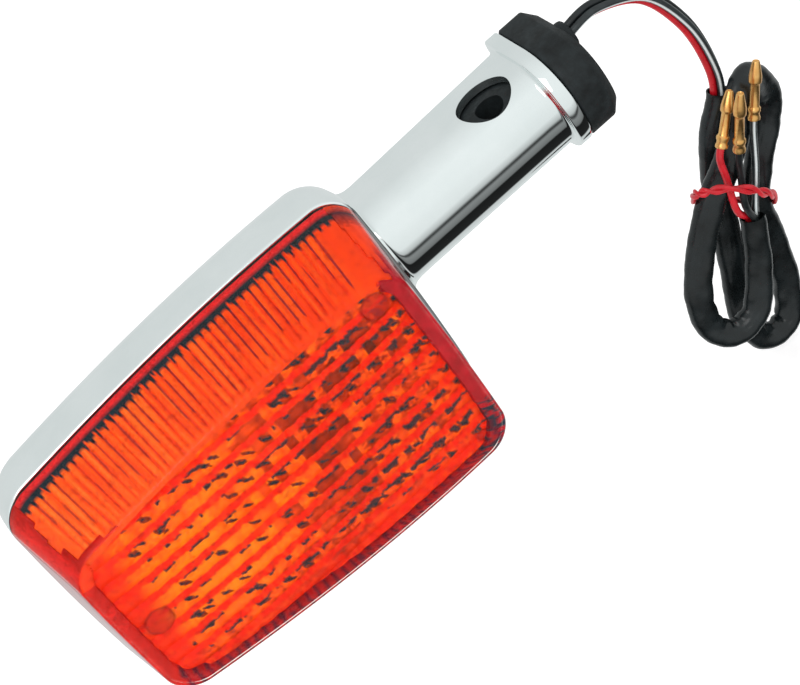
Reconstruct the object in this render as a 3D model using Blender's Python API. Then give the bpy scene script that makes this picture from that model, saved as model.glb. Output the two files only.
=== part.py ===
"""Turn signal indicator: chrome lamp on a hollow stem, held by a rubber damper, with its wiring.

Frame: X runs along the stem towards the vehicle, -Y is forward (the lens looks that way), +Z is up.
The origin is on the damper's outer end face, level with the axis of the mounting bolt.
Units: metres, drawn in mm.
"""

import math
from collections import namedtuple

import bmesh
import bpy
from mathutils import Vector

MM = 0.001
SHARP_ANGLE = math.radians(35)
WALL = 2.2  # of the housing, the lens and the stem

# Lamp
LAMP_X = -124.2  # middle of the lens
RIM_Y = -12.5  # face of the housing rim
BACK_Y = 15.5  # flat back of the housing
LENS_BASE_Y = -13.6
LENS_FRONT_Y = -38.5
LENS_CROWN = 2.0
DISH_CORNER_R = 9.0
LENS_CORNER_R = 7.5
LENS_SCREWS = {"upper": (-82.2, 17.0), "lower": (-166.2, -10.0)}  # x, z

# Crowned trapezoid seen from the front. x is from LAMP_X; the crowns bow the edges outwards.
Outline = namedtuple(
    "Outline",
    "left right top_left top_right bottom_left bottom_right crown_top crown_bottom crown_side",
)
HOUSING = Outline(-53.9, 55.0, 26.1, 31.6, -35.9, -43.1, 2.7, 3.0, 0.8)
LENS_BASE = Outline(-53.7, 54.1, 25.9, 31.4, -35.7, -42.9, 2.7, 3.0, 0.8)
LENS_FRONT = Outline(-50.0, 50.8, 18.2, 23.6, -31.5, -38.9, 2.3, 3.0, 0.5)
CORNER_STEPS = 5
EDGE_STEPS = 4

# Stem and damper
SECTION_SHIFT = 1.4  # the stem's section lies this far behind and above the bolt's axis
FACET_DROP = 1.3  # fall of the stem's top facet towards its back corner
COLLAR_DROP = 0.6  # the same at the collar
STEM_R = 12.5
STEM_BACK = 12.2
STEM_START_X = -67.9
COLLAR_X = -14.3
COLLAR_END_X = -10.4
COLLAR_BACK = 16.6
FLANGE_R = 14.5
DAMPER_X = -10.1
PIVOT_X = -26.1  # axis of the mounting bolt, on which the lamp flexes
ACCESS_R = 7.8
JOIN_OFFSET = 7.6  # stem screws above and below the middle of the section
JOIN_SCREWS = {  # y, z
    "upper": (SECTION_SHIFT, SECTION_SHIFT + JOIN_OFFSET),
    "lower": (SECTION_SHIFT, SECTION_SHIFT - JOIN_OFFSET),
}

# Socket and bulb
BULB_Y, BULB_Z = -11.0, -2.0
SOCKET_SHIFT = -3.7  # moves the whole socket and bulb group along X
SOCKET_AXIS = (SOCKET_SHIFT, BULB_Y, BULB_Z)
BULB_ORIGIN = (-90, BULB_Y, BULB_Z)

# Wiring
LEAD_Y, LEAD_Z = 7.3, 3.0
WIRE_R = 1.0
WIRE_OFFSET = 1.25  # from the common centreline to each wire's own
WIRE_STEP = 2.1  # angle from one wire to the next round the centreline
WIRE_PHASE = 1.2  # turn of the three wires round the centreline
TWIST_STEPS = 20  # route points over which half a turn is taken up
SLEEVE_R = 3.1
SLEEVE_BORE_R = 2.7


# Materials

def material(name, color, roughness, metallic=0.0):
    made = bpy.data.materials.new(name)
    made.use_nodes = True
    inputs = made.node_tree.nodes["Principled BSDF"].inputs
    inputs["Base Color"].default_value = (*color, 1)
    inputs["Roughness"].default_value = roughness
    inputs["Metallic"].default_value = metallic
    return made


CHROME = material("chrome", (0.8, 0.84, 0.84), roughness=0.06, metallic=1.0)
AMBER = material("amber_lens", (1.0, 0.2, 0.02), roughness=0.08)
RUBBER = material("black_rubber", (0.02, 0.025, 0.027), roughness=0.6)
STEEL = material("zinc_steel", (0.6, 0.6, 0.58), roughness=0.3, metallic=1.0)
BRASS = material("brass", (0.85, 0.55, 0.25), roughness=0.25, metallic=1.0)
PHENOLIC = material("phenolic", (0.2, 0.1, 0.05), roughness=0.6)
GLASS = material("bulb_glass", (1.0, 1.0, 1.0), roughness=0.02)
MIRROR = material("reflector", (0.85, 0.85, 0.86), roughness=0.1, metallic=1.0)
BLACK_PVC = material("black_pvc", (0.015, 0.018, 0.02), roughness=0.35)
TRACER_PVC = material("black_white_pvc", (0.12, 0.13, 0.13), roughness=0.35)
RED_PVC = material("red_pvc", (0.6, 0.02, 0.04), roughness=0.35)
TUNGSTEN = material("tungsten", (0.35, 0.35, 0.37), roughness=0.3, metallic=1.0)


# Objects and booleans. A shape is a pair of points in mm and faces.

def solid(name, shape, mat=None, origin=(0, 0, 0)):
    """A mesh object with its origin at the point given, smooth-shaded if it has a material."""
    verts, faces = shape
    origin = Vector(origin)
    mesh = bpy.data.meshes.new(name)
    mesh.from_pydata([(Vector(v) - origin) * MM for v in verts], [], faces)
    bm = bmesh.new()
    bm.from_mesh(mesh)
    bmesh.ops.remove_doubles(bm, verts=bm.verts, dist=1e-7)
    bmesh.ops.recalc_face_normals(bm, faces=bm.faces)
    bm.to_mesh(mesh)
    bm.free()
    if mat:
        mesh.materials.append(mat)
        mesh.shade_smooth()
        mesh.set_sharp_from_angle(angle=SHARP_ANGLE)
    obj = bpy.data.objects.new(name, mesh)
    obj.location = origin * MM
    bpy.context.scene.collection.objects.link(obj)
    return obj


def boolean(obj, name, shape, operation="DIFFERENCE"):
    """Combine the object with a hidden helper of the shape given."""
    helper = solid(name, shape)
    helper.hide_render = True
    helper.display_type = "WIRE"
    mod = obj.modifiers.new(name, "BOOLEAN")
    mod.operation = operation
    mod.solver = "EXACT"
    mod.use_self = True
    mod.object = helper


def drill(obj, name, radius, span, axis, at, count=20):
    boolean(obj, name, cylinder(radius, span, axis, at, count))


# Shapes

def loft(loops, cap_first=True, ring=False):
    """Skin over loops of equal count. ring joins the last loop to the first and leaves no caps."""
    n = len(loops[0])
    verts = [p for loop in loops for p in loop]
    faces = []
    pairs = [(i, i + 1) for i in range(len(loops) - 1)]
    if ring:
        pairs.append((len(loops) - 1, 0))
    for a, b in pairs:
        for k in range(n):
            j = (k + 1) % n
            faces.append((a * n + k, a * n + j, b * n + j, b * n + k))
    bases = [0] if cap_first else []
    bases.append((len(loops) - 1) * n)
    if not ring:
        for base in bases:
            hub = len(verts)
            verts.append(tuple(sum((Vector(p) for p in verts[base : base + n]), Vector()) / n))
            faces += [(base + k, base + (k + 1) % n, hub) for k in range(n)]
    return verts, faces


def shell(outer, inner):
    """An open cup: two lofts closed at their last loops and joined round their first."""
    n = len(outer[0])
    verts, faces = loft(outer, cap_first=False)
    inner_verts, inner_faces = loft(inner, cap_first=False)
    shift = len(verts)
    faces += [tuple(shift + k for k in face) for face in inner_faces]
    faces += [(k, (k + 1) % n, shift + (k + 1) % n, shift + k) for k in range(n)]
    return verts + inner_verts, faces


def lathe(profile, count=20, axis="X", at=(0, 0, 0)):
    """Loops for (distance along the axis, radius) pairs round an axis through the point given."""
    loops = []
    for along, r in profile:
        loop = []
        for k in range(count):
            t = 2 * math.pi * k / count
            c, s = r * math.cos(t), r * math.sin(t)
            p = {"X": (along, c, s), "Y": (s, along, c), "Z": (c, s, along)}[axis]
            loop.append(tuple(p[i] + at[i] for i in range(3)))
        loops.append(loop)
    return loops


def cylinder(radius, span, axis, at, count=20):
    return loft(lathe([(along, radius) for along in span], count, axis, at))


def signed_power(value, exponent):
    return math.copysign(abs(value) ** exponent, value)


def outline(y, shape, insets, radius):
    """A crowned trapezoid with round corners, in the plane y. insets: left, right, top, bottom."""
    in_left, in_right, in_top, in_bottom = insets
    left, right = shape.left + in_left, shape.right - in_right
    top_left, top_right = shape.top_left - in_top, shape.top_right - in_top
    bottom_left, bottom_right = shape.bottom_left + in_bottom, shape.bottom_right + in_bottom
    corners = [
        Vector((left, top_left)),
        Vector((right, top_right)),
        Vector((right, bottom_right)),
        Vector((left, bottom_left)),
    ]
    arcs = []
    for i, corner in enumerate(corners):
        back, ahead = corners[i - 1] - corner, corners[(i + 1) % 4] - corner
        r = min(radius, 0.45 * min(back.length, ahead.length))
        arcs.append((corner + back.normalized() * r, corner, corner + ahead.normalized() * r))

    weight = math.sqrt(0.5)  # of the corner point in the rational curve round it
    points = []
    for i, (start, corner, end) in enumerate(arcs):
        for k in range(CORNER_STEPS + 1):
            s = k / CORNER_STEPS
            a, b, d = (1 - s) ** 2, 2 * s * (1 - s) * weight, s * s
            points.append((start * a + corner * b + end * d) / (a + b + d))
        next_start = arcs[(i + 1) % 4][0]
        points += [end.lerp(next_start, k / EDGE_STEPS) for k in range(1, EDGE_STEPS)]

    half_x, mid_x = (right - left) / 2, (right + left) / 2
    half_z = (top_left + top_right - bottom_left - bottom_right) / 4
    mid_z = (top_left + top_right + bottom_left + bottom_right) / 4
    loop = []
    for p in points:
        u, v = (p.x - mid_x) / half_x, (p.y - mid_z) / half_z
        crown = shape.crown_top if v > 0 else -shape.crown_bottom
        dz = crown * (1 - u * u) * abs(v)
        dx = math.copysign(shape.crown_side * (1 - min(1, v * v)) * abs(u), u)
        loop.append((LAMP_X + p.x + dx, y, p.y + dz))
    return loop


def scaled(loop, factor, y):
    """The loop shrunk towards its middle and moved to the plane y."""
    mid_x = sum(p[0] for p in loop) / len(loop)
    mid_z = sum(p[2] for p in loop) / len(loop)
    return [(mid_x + (p[0] - mid_x) * factor, y, mid_z + (p[2] - mid_z) * factor) for p in loop]


def section(x, r, back, drop=FACET_DROP):
    """Cross-section of the stem: round front, a flat top facet, a square-cornered back."""
    front_steps = 14
    power = 2.0 / 2.3  # superellipse, slightly squarer than a circle
    corner_r = 3.0
    points = []
    for k in range(front_steps + 1):
        t = math.pi * k / front_steps
        points.append((-r * abs(math.sin(t)) ** power, r * signed_power(math.cos(t), power)))
    quarter = [math.pi / 2 * k / 3 for k in range(4)]
    y, low, high = back - corner_r, -r + corner_r, r - drop - corner_r
    points += [(y + corner_r * math.sin(t), low - corner_r * math.cos(t)) for t in quarter]
    points += [(y + corner_r * math.cos(t), high + corner_r * math.sin(t)) for t in quarter]
    return [(x, y + SECTION_SHIFT, z + SECTION_SHIFT) for y, z in points]


# Paths and tubes

def curve_through(points, steps):
    """A Catmull-Rom curve through the points."""
    p = [Vector(q) for q in points]
    p = [2 * p[0] - p[1]] + p + [2 * p[-1] - p[-2]]
    out = []
    for i in range(1, len(p) - 2):
        a, b, c, d = p[i - 1 : i + 3]
        for k in range(steps):
            t = k / steps
            linear = (c - a) * t
            square = (2 * a - 5 * b + 4 * c - d) * t * t
            cubic = (3 * b - a - 3 * c + d) * t**3
            out.append(0.5 * (2 * b + linear + square + cubic))
    out.append(p[-2])
    return out


def frames(path):
    """A normal and a binormal at each point, carried along without twist."""
    last = len(path) - 1
    tangents = [
        (path[min(i + 1, last)] - path[max(i - 1, 0)]).normalized() for i in range(len(path))
    ]
    normal = tangents[0].orthogonal().normalized()
    out = []
    for t in tangents:
        normal = (normal - t * normal.dot(t)).normalized()
        out.append((normal.copy(), t.cross(normal)))
    return out


def around(centre, u, v, angle, radius):
    return centre + (u * math.cos(angle) + v * math.sin(angle)) * radius


def circle(centre, u, v, radius, count):
    return [tuple(around(centre, u, v, 2 * math.pi * k / count, radius)) for k in range(count)]


def tube(path, radius, count, bore_r=None):
    """A rod along the path, or a pipe if it has a bore."""
    places = [(p, u, v) for p, (u, v) in zip(path, frames(path))]
    loops = [circle(*place, radius, count) for place in places]
    if bore_r:
        loops += [circle(*place, bore_r, count) for place in reversed(places)]
    return loft(loops, ring=bool(bore_r))


# Lamp

def dish(y, inset, wall=0.0):
    """A loop of the housing; the stem side hardly draws in with depth."""
    right = min(inset, 0.15 * inset + 0.4) + wall
    side = 0.9 * inset + wall
    return outline(y, HOUSING, (side, right, inset + wall, side), DISH_CORNER_R)


def build_housing():
    """A deep crowned dish, with a pad for the stem and a tower for each lens screw."""
    stations = (  # y, inset
        (RIM_Y, 0.0), (-8.0, 0.0), (-4.0, 0.2), (0.0, 1.0),
        (5.0, 3.8), (10.0, 9.0), (13.5, 14.4), (BACK_Y, 20.0),
    )
    outer = [dish(y, inset) for y, inset in stations]
    inner = [dish(y - (WALL if i else 0), d, WALL) for i, (y, d) in enumerate(stations)]
    housing = solid("housing", shell(outer, inner), CHROME)

    pad_stations = ((-72.4, 12.3, 12.2), (-68.9, 12.3, 12.2), (-68.3, 11.9, 11.8))  # x, r, back
    pad = loft([section(*station) for station in pad_stations])
    boolean(housing, "stem_pad", pad, "UNION")
    for side, (x, z) in LENS_SCREWS.items():
        tower = cylinder(5.8, (-0.9, 13.6), "Y", (x, 0, z))
        boolean(housing, f"tower_{side}", tower, "UNION")
    # Through hole, widened at the back for the screw head.
    pocket = [(-3.3, 1.85), (9.05, 1.85), (9.05, 4.2), (18.2, 4.2)]  # y, radius
    for side, (x, z) in LENS_SCREWS.items():
        boolean(housing, f"pocket_{side}", loft(lathe(pocket, 18, "Y", (x, 0, z))))

    span = (-78, -66)
    drill(housing, "housing_lead_hole", 3.3, span, "X", (0, 6.1, LEAD_Z), 16)
    for side, (y, z) in JOIN_SCREWS.items():
        drill(housing, f"housing_join_{side}", 1.9, span, "X", (0, y, z), 14)


def lens_loops(wall):
    """Loops of the drafted side, the rounded front edge and the crowned front."""
    loops = []
    # part of the depth, inset
    for t, edge_inset in ((0.0, 0.0), (0.5, 0.0), (0.93, 0.0), (0.985, 0.5), (1.0, 1.7)):
        y = LENS_BASE_Y + (LENS_FRONT_Y - LENS_BASE_Y) * t
        if t:
            y += wall * 0.9
        shape = Outline(*(a + (b - a) * t for a, b in zip(LENS_BASE, LENS_FRONT)))
        loops.append(outline(y, shape, (edge_inset + wall,) * 4, LENS_CORNER_R))
    rim = loops[-1]
    for factor in (0.72, 0.36):
        loops.append(scaled(rim, factor, rim[0][1] - LENS_CROWN * (1 - factor * factor)))
    return loops


def build_lens():
    """A shell with two bosses, each with a pilot hole for its screw."""
    lens = solid("lens", shell(lens_loops(0.0), lens_loops(WALL)), AMBER)
    for side, (x, z) in LENS_SCREWS.items():
        boss = cylinder(3.6, (-38.0, -1.0), "Y", (x, 0, z), 18)
        boolean(lens, f"boss_{side}", boss, "UNION")
    for side, (x, z) in LENS_SCREWS.items():
        drill(lens, f"pilot_{side}", 1.6, (-14, 2), "Y", (x, 0, z), 14)


def build_gasket():
    back, front = -12.8, -13.3
    outer, inner = 0.5, 0.5 + 1.5
    corners = ((back, outer), (front, outer), (front, inner), (back, inner))  # y, inset
    loops = [outline(y, LENS_BASE, (inset,) * 4, LENS_CORNER_R) for y, inset in corners]
    solid("lens_gasket", loft(loops, ring=True), RUBBER)


def reflector_loop(y, inset, right, thickness=0.0):
    side = 0.95 * inset - thickness
    return outline(y, HOUSING, (side, right, inset - thickness, side), DISH_CORNER_R)


def build_reflector():
    """A thin dish behind the bulb, holed for the towers, the socket and the leads."""
    stations = ((-10.5, 4.4), (-2.0, 8.0), (2.0, 14.0))  # y, inset
    front = [reflector_loop(y, inset, right=9.5) for y, inset in stations]
    rear = [
        reflector_loop(y + (1.0 if i else 0), inset, right=8.7, thickness=0.9)
        for i, (y, inset) in enumerate(stations)
    ]
    reflector = solid("reflector", shell(front, rear), MIRROR)
    for side, (x, z) in LENS_SCREWS.items():
        drill(reflector, f"reflector_hole_{side}", 6.4, (-14, 6), "Y", (x, 0, z), 18)
    span = (-84, -66)
    drill(reflector, "reflector_socket_hole", 9.4, span, "X", (0, BULB_Y, BULB_Z))
    drill(reflector, "reflector_lead_hole", 3.6, span, "X", (0, LEAD_Y - 2, LEAD_Z), 14)


def build_lens_screws():
    """Slotted screws from the back, each on a washer."""
    # y, radius
    washer = [(9.3, 1.8), (9.3, 3.6), (9.9, 3.6), (9.9, 1.8)]
    body = [(-9.5, 0.7), (-8.5, 1.25), (10.2, 1.25), (10.2, 3.4), (11.4, 3.4), (12.2, 2.4)]
    box = [(0, 1, 3, 2), (4, 6, 7, 5), (0, 2, 6, 4), (1, 5, 7, 3), (0, 4, 5, 1), (2, 3, 7, 6)]
    for side, (x, z) in LENS_SCREWS.items():
        at = (x, 0, z)
        ring = loft(lathe(washer, 18, "Y", at), ring=True)
        solid(f"lens_screw_washer_{side}", ring, PHENOLIC)
        screw = solid(f"lens_screw_{side}", loft(lathe(body, 16, "Y", at)), STEEL)
        slot = [
            (x + dx, y, z + dz) for dx in (-5, 5) for y in (11.2, 14) for dz in (-0.45, 0.45)
        ]
        boolean(screw, f"screw_slot_{side}", (slot, box))


# Stem

def build_stem():
    """The hollow stem and its screws; its root sits on the housing's pad."""
    outer = [
        section(STEM_START_X, STEM_R + 0.9, 13.2),
        section(STEM_START_X + 1.2, STEM_R + 0.2, 12.4),
        section(STEM_START_X + 4, STEM_R, STEM_BACK),
        section(COLLAR_X - 1.0, STEM_R - 0.2, 14.8),
        section(COLLAR_X, FLANGE_R, COLLAR_BACK, COLLAR_DROP),
        section(COLLAR_END_X, FLANGE_R, COLLAR_BACK, COLLAR_DROP),
    ]
    inner = [
        section(COLLAR_END_X, STEM_R - WALL, 12.4),
        section(COLLAR_X, STEM_R - WALL, 12.4),
        section(STEM_START_X + 4, STEM_R - WALL, STEM_BACK - WALL),
    ]
    stem = solid("stem", loft(outer + inner), CHROME)
    drill(stem, "access_hole", ACCESS_R, (3.0, 20), "Z", (PIVOT_X, 0, 0), 32)
    span = (-74, -59)
    drill(stem, "stem_lead_hole", 3.2, span, "X", (0, 6.0, LEAD_Z))
    screw = [  # x, radius
        (-74.9, 2.0), (-74.4, 3.1), (-72.6, 3.1), (-72.6, 1.25), (-62.3, 1.25), (-61.5, 0.7),
    ]
    for side, (y, z) in JOIN_SCREWS.items():
        drill(stem, f"stem_join_{side}", 1.6, span, "X", (0, y, z), 14)
        solid(f"stem_screw_{side}", loft(lathe(screw, 14, "X", (0, y, z))), STEEL)


# Outer wiring. The centreline is common; each wire keeps its own place round it.
WIRES = {"red": RED_PVC, "black": BLACK_PVC, "black_white": TRACER_PVC}

# Directions in the folded bundle: steps across it, down it, and away from the front.
BUNDLE_MIDDLE = Vector((16.7, 3.0, -66.5))
ACROSS = Vector((0.237, 0, -0.237))
DOWN = Vector((-0.143, 0, -0.269))
DEPTH = Vector((0.318, 1, -0.892))

# Centreline points x, y, z: through the damper, then in the open.
CHANNEL = [(-24.0, LEAD_Y, LEAD_Z), (-14.0, 7.3, 3.5), (-6.0, 5.6, 7.0), (1.0, 3.0, 10.0)]
OPEN_RUN = [(10.5, 3.0, 10.2), (22.3, 3.0, 3.2), (28.3, 3.0, -11.0), (29.4, 3.0, -25.0)]
# Centreline points in the bundle: across, down, depth.
SLEEVE = [
    (-16, -100, 0), (-22, -56, 1), (-19, -11, 4), (-9, 34, 5), (0, 79, 5), (9, 122, 5),
    (31, 144, 6), (54, 128, 7), (54, 89, 7), (39, 44, 6), (23, 4, 4), (24, -36, 3),
    (31, -76, 3), (30, -102, 1), (14, -113, -3), (5, -95, -6), (1, -62, -6), (-10, -26, -5),
    (-24, 9, -4), (-34, 54, -3), (-36, 99, -3), (-24, 130, -3), (0, 136, -4), (21, 114, -5),
    (24, 70, -5), (18, 20, -5),
]
# Bundle places: route from the sleeve's mouth, terminal's start, terminal's end.
TAILS = {
    "red": ([(2, 14, -8), (-8, -16, -9.3)], (-13, -46, -10), (-5, -99, -9.5)),
    "black": ([(10, 8, -9.3), (6, -18, -9.6)], (4, -43, -12.5), (5, -95, -16.5)),
    "black_white": ([(20, 6, -8), (20, -30, -9.3)], (18, -73, -11), (20, -126, -12)),
}


def lay(across, down, depth):
    """The point at a place in the folded bundle."""
    return BUNDLE_MIDDLE + across * ACROSS + down * DOWN + depth * DEPTH


def build_terminal(colour, start, direction, length):
    """Bullet terminal: crimp over the wire, a straight barrel, the shouldered taper of the tip."""
    profile = [  # distance from the start, radius
        (2.4, 1.4), (0.0, 1.4), (0.0, 1.7), (0.2 * length, 1.7), (0.24 * length, 1.3),
        (0.62 * length, 1.3), (0.64 * length, 1.7), (0.76 * length, 1.7),
        (length - 0.2, 1.0), (length, 0.8),
    ]
    up = direction.orthogonal().normalized()
    side = direction.cross(up)
    loops = [circle(start + direction * along, up, side, r, 12) for along, r in profile]
    solid(f"terminal_{colour}", loft(loops), BRASS)


def build_wires():
    """The sleeve, and three wires through it that end in terminals."""
    steps = 2
    sleeve_start = steps * (len(CHANNEL) + len(OPEN_RUN))
    route = curve_through(CHANNEL + OPEN_RUN + [lay(*p) for p in SLEEVE], steps)
    sleeve = tube(route[sleeve_start:], SLEEVE_R, 8, bore_r=SLEEVE_BORE_R)
    solid("wire_sleeve", sleeve, BLACK_PVC)

    route_axes = frames(route)
    for index, (colour, mat) in enumerate(WIRES.items()):
        path = []
        for i, (centre, (u, v)) in enumerate(zip(route, route_axes)):
            twisted = min(max(i - sleeve_start, 0) / TWIST_STEPS, 1)
            angle = WIRE_STEP * index + WIRE_PHASE + math.pi * (1 - twisted)
            path.append(around(centre, u, v, angle, WIRE_OFFSET))
        tail, start, end = TAILS[colour]
        start, end = lay(*start), lay(*end)
        direction = (end - start).normalized()
        entry = [start - direction * 3.0, start + direction * 2.0]
        path += curve_through([path[-1]] + [lay(*p) for p in tail] + entry, 3)[1:]
        solid(f"wire_{colour}", tube(path, WIRE_R, 6), mat)
        build_terminal(colour, start, direction, (end - start).length)


def build_band():
    """One closed flat ring round the folded bundle."""
    count, power = 28, 0.7
    half_width, half_thickness = 1.6, 0.6
    path = []
    for k in range(count):
        t = 2 * math.pi * (k + 0.5) / count
        c, s = math.cos(t), math.sin(t)
        across = -0.5 + 41 * signed_power(c, power)
        path.append(lay(across, 3 + 9 * min(s, 0), -1.4 + 11.0 * signed_power(s, power)))
    loops = []
    for k in range(count):
        tangent = (path[(k + 1) % count] - path[k - 1]).normalized()
        u = DOWN.normalized()
        u = (u - tangent * u.dot(tangent)).normalized()
        v = tangent.cross(u)
        loop = []
        for j in range(8):
            t = 2 * math.pi * j / 8
            wide, thick = half_width * math.cos(t), half_thickness * math.sin(t)
            loop.append(tuple(path[k] + u * wide + v * thick))
        loops.append(loop)
    solid("bundle_band", loft(loops, ring=True), RED_PVC)


def build_leads():
    """Inner leads, from behind the socket, through the stem, to the split at the flex axis."""
    centreline = ((-28.0, LEAD_Y), (-45.0, 6.5), (-62.0, 6.0), (-70.8, 6.2), (-72.9, 6.6))  # x, y
    for index, (colour, mat) in enumerate(WIRES.items()):
        angle = WIRE_STEP * index
        dy, dz = WIRE_OFFSET * math.cos(angle), WIRE_OFFSET * math.sin(angle)
        path = curve_through([(x, y + dy, LEAD_Z + dz) for x, y in centreline], 3)
        solid(f"lead_{colour}", tube(path, WIRE_R, 7), mat)


# Damper

def build_damper():
    """Outer block, and a plug inside the stem that the mounting bolt passes through."""
    block_r = FLANGE_R - 0.3
    damper = solid(
        "rubber_damper",
        loft([
            section(-33.5, 9.3, 10.6),
            section(-32.5, 9.8, 11.0),
            section(DAMPER_X, 9.8, 11.2),
            section(DAMPER_X, block_r, 16.2, COLLAR_DROP),
            section(-2.6, block_r, 16.2, COLLAR_DROP),
            section(0.0, FLANGE_R - 2.4, 13.8, COLLAR_DROP),
        ]),
        RUBBER,
    )
    nub = lathe([(-2.0, 4.3), (1.2, 4.3), (1.8, 3.7)], 18, "X", (0, 3.2, 9.4))
    boolean(damper, "wire_channel_nub", loft(nub), "UNION")
    channel = curve_through([(-45.0, LEAD_Y, LEAD_Z), *CHANNEL, (8.0, 3.0, 10.2)], 4)
    boolean(damper, "wire_channel", tube(channel, 2.65, 12))
    pivot = (PIVOT_X, 0, 0)
    drill(damper, "bolt_bore", 3.8, (-14, 14), "Z", pivot, 24)
    spacer = [(-8.0, 2.6), (-8.0, 3.5), (5.0, 3.5), (5.0, 2.6)]  # z, radius
    solid("mount_spacer", loft(lathe(spacer, 24, "Z", pivot), ring=True), STEEL)


# Socket and bulb. Profiles are (x before SOCKET_SHIFT, radius).

def socket_slot(side):
    """A curved block through the shell wall; side is 1 towards +Y, -1 towards -Y."""
    verts = []
    for x in (-92.0, -84.5):
        for k in range(6):
            t = math.radians(-14 + 8 * k)
            for r in (6.5, 11.0):
                y, z = side * r * math.cos(t), side * r * math.sin(t)
                verts.append((x + SOCKET_SHIFT, BULB_Y + y, BULB_Z + z))
    faces = [(0, 1, 13, 12), (10, 11, 23, 22)]
    for a in range(0, 10, 2):
        b = a + 2
        faces += [(end + a, end + a + 1, end + b + 1, end + b) for end in (0, 12)]
        faces += [(a + r, b + r, 12 + b + r, 12 + a + r) for r in (0, 1)]
    return verts, faces


def build_socket():
    """Bayonet socket along X, at the stem side of the lamp."""
    profile = [(-94, 8.0), (-94, 8.9), (-73.0, 8.9), (-73.0, 10.6), (-72.2, 10.6), (-72.2, 8.0)]
    socket = solid("socket_shell", loft(lathe(profile, 24, "X", SOCKET_AXIS), ring=True), STEEL)
    # Each slot takes a pin; it is long enough for the push and wide enough for the turn.
    for name, side in (("a", 1), ("b", -1)):
        boolean(socket, f"socket_slot_{name}", socket_slot(side))

    insulator = cylinder(7.6, (-74.6, -73.0), "X", SOCKET_AXIS)
    insulator = solid("socket_insulator", insulator, PHENOLIC)
    hole_at = (SOCKET_SHIFT, BULB_Y + 3.6, BULB_Z)
    drill(insulator, "insulator_lead_hole", 2.4, (-76, -71), "X", hole_at, 12)


def build_contacts():
    """The disc with its two contacts, and the spring behind it."""
    disc = solid("contact_disc", cylinder(7.5, (-81.0, -79.5), "X", SOCKET_AXIS), PHENOLIC)
    contact = [(-82.3, 1.0), (-81.4, 1.9), (-81.4, 1.2), (-78.4, 1.2)]
    for use, dy in (("turn", 3.0), ("running", -3.0)):
        at = (SOCKET_SHIFT, BULB_Y + dy, BULB_Z)
        drill(disc, f"disc_hole_{use}", 1.5, (-83, -78), "X", at, 12)
        solid(f"contact_{use}", loft(lathe(contact, 12, "X", at)), BRASS)

    turns, turn_steps = 4, 10
    start_x, length, coil_r = SOCKET_SHIFT - 79.1, 4.0, 5.9
    coil = []
    for k in range(turns * turn_steps + 1):
        t = 2 * math.pi * k / turn_steps
        x = start_x + length * k / (turns * turn_steps)
        coil.append(Vector((x, BULB_Y + coil_r * math.cos(t), BULB_Z + coil_r * math.sin(t))))
    solid("contact_spring", tube(coil, 0.35, 4), STEEL)


def build_bulb():
    """Brass base with two side pins, glass globe, two filaments."""
    profile = [(-83.0, 7.55), (-99.5, 7.55), (-99.5, 6.7), (-84.6, 6.7), (-84.6, 0.8), (-82.6, 0.8)]
    base = loft(lathe(profile, 24, "X", SOCKET_AXIS), ring=True)
    base = solid("bulb_base", base, BRASS, BULB_ORIGIN)
    pin_at = (-88.5 + SOCKET_SHIFT, BULB_Y, BULB_Z)
    for name, span in (("bulb_pins", (6.9, 9.6)), ("bulb_pins_other", (-9.6, -6.9))):
        boolean(base, name, cylinder(1.0, span, "Y", pin_at, 12), "UNION")

    globe_x, globe_r = -112.0, 11.8
    outer = [(-97.5, 6.0), (-101.5, 6.1)]
    for k in range(8):
        t = math.radians(150 - 150 * k / 8)
        outer.append((globe_x - globe_r * math.cos(t), globe_r * math.sin(t)))
    inner = [(x + (1.0 if x < -113 else 0.0), r - 0.9) for x, r in outer]
    tip_x = globe_x - globe_r
    outer.append((tip_x, 1.0))
    inner.append((tip_x + 1.0, 0.5))
    glass = shell(*(lathe(side, 20, "X", SOCKET_AXIS) for side in (outer, inner)))
    solid("bulb_glass", glass, GLASS, BULB_ORIGIN)

    # use, x of the far end, y from the bulb's axis, half height
    for use, x_end, dy, half in (("turn", -112.5, 1.6, 3.2), ("running", -108.5, -1.6, 2.4)):
        points = [  # x, z
            (-98.0, -half * 0.5), (-103.0, -half * 0.6), (x_end, -half), (x_end - 0.6, 0),
            (x_end, half), (-103.0, half * 0.6), (-98.0, half * 0.5),
        ]
        path = curve_through([(x + SOCKET_SHIFT, BULB_Y + dy, BULB_Z + z) for x, z in points], 3)
        solid(f"bulb_filament_{use}", tube(path, 0.22, 6), TUNGSTEN, BULB_ORIGIN)


for old in list(bpy.data.objects):
    bpy.data.objects.remove(old, do_unlink=True)

build_housing()
build_lens()
build_gasket()
build_reflector()
build_lens_screws()
build_stem()
build_wires()
build_band()
build_damper()
build_socket()
build_contacts()
build_bulb()
build_leads()
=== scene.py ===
"""An amber turn signal lamp on a chrome stem, with a rubber damper, a folded sleeve and three leads.

The scene is in metres and the numbers for shapes are in millimetres. +X runs along the stem
from the lamp to the damper, the lens faces -Y and +Z is up. Left means -X and right +X.
"""

import math

import bmesh
import bpy
import numpy as np
from mathutils import Matrix, Vector


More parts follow.
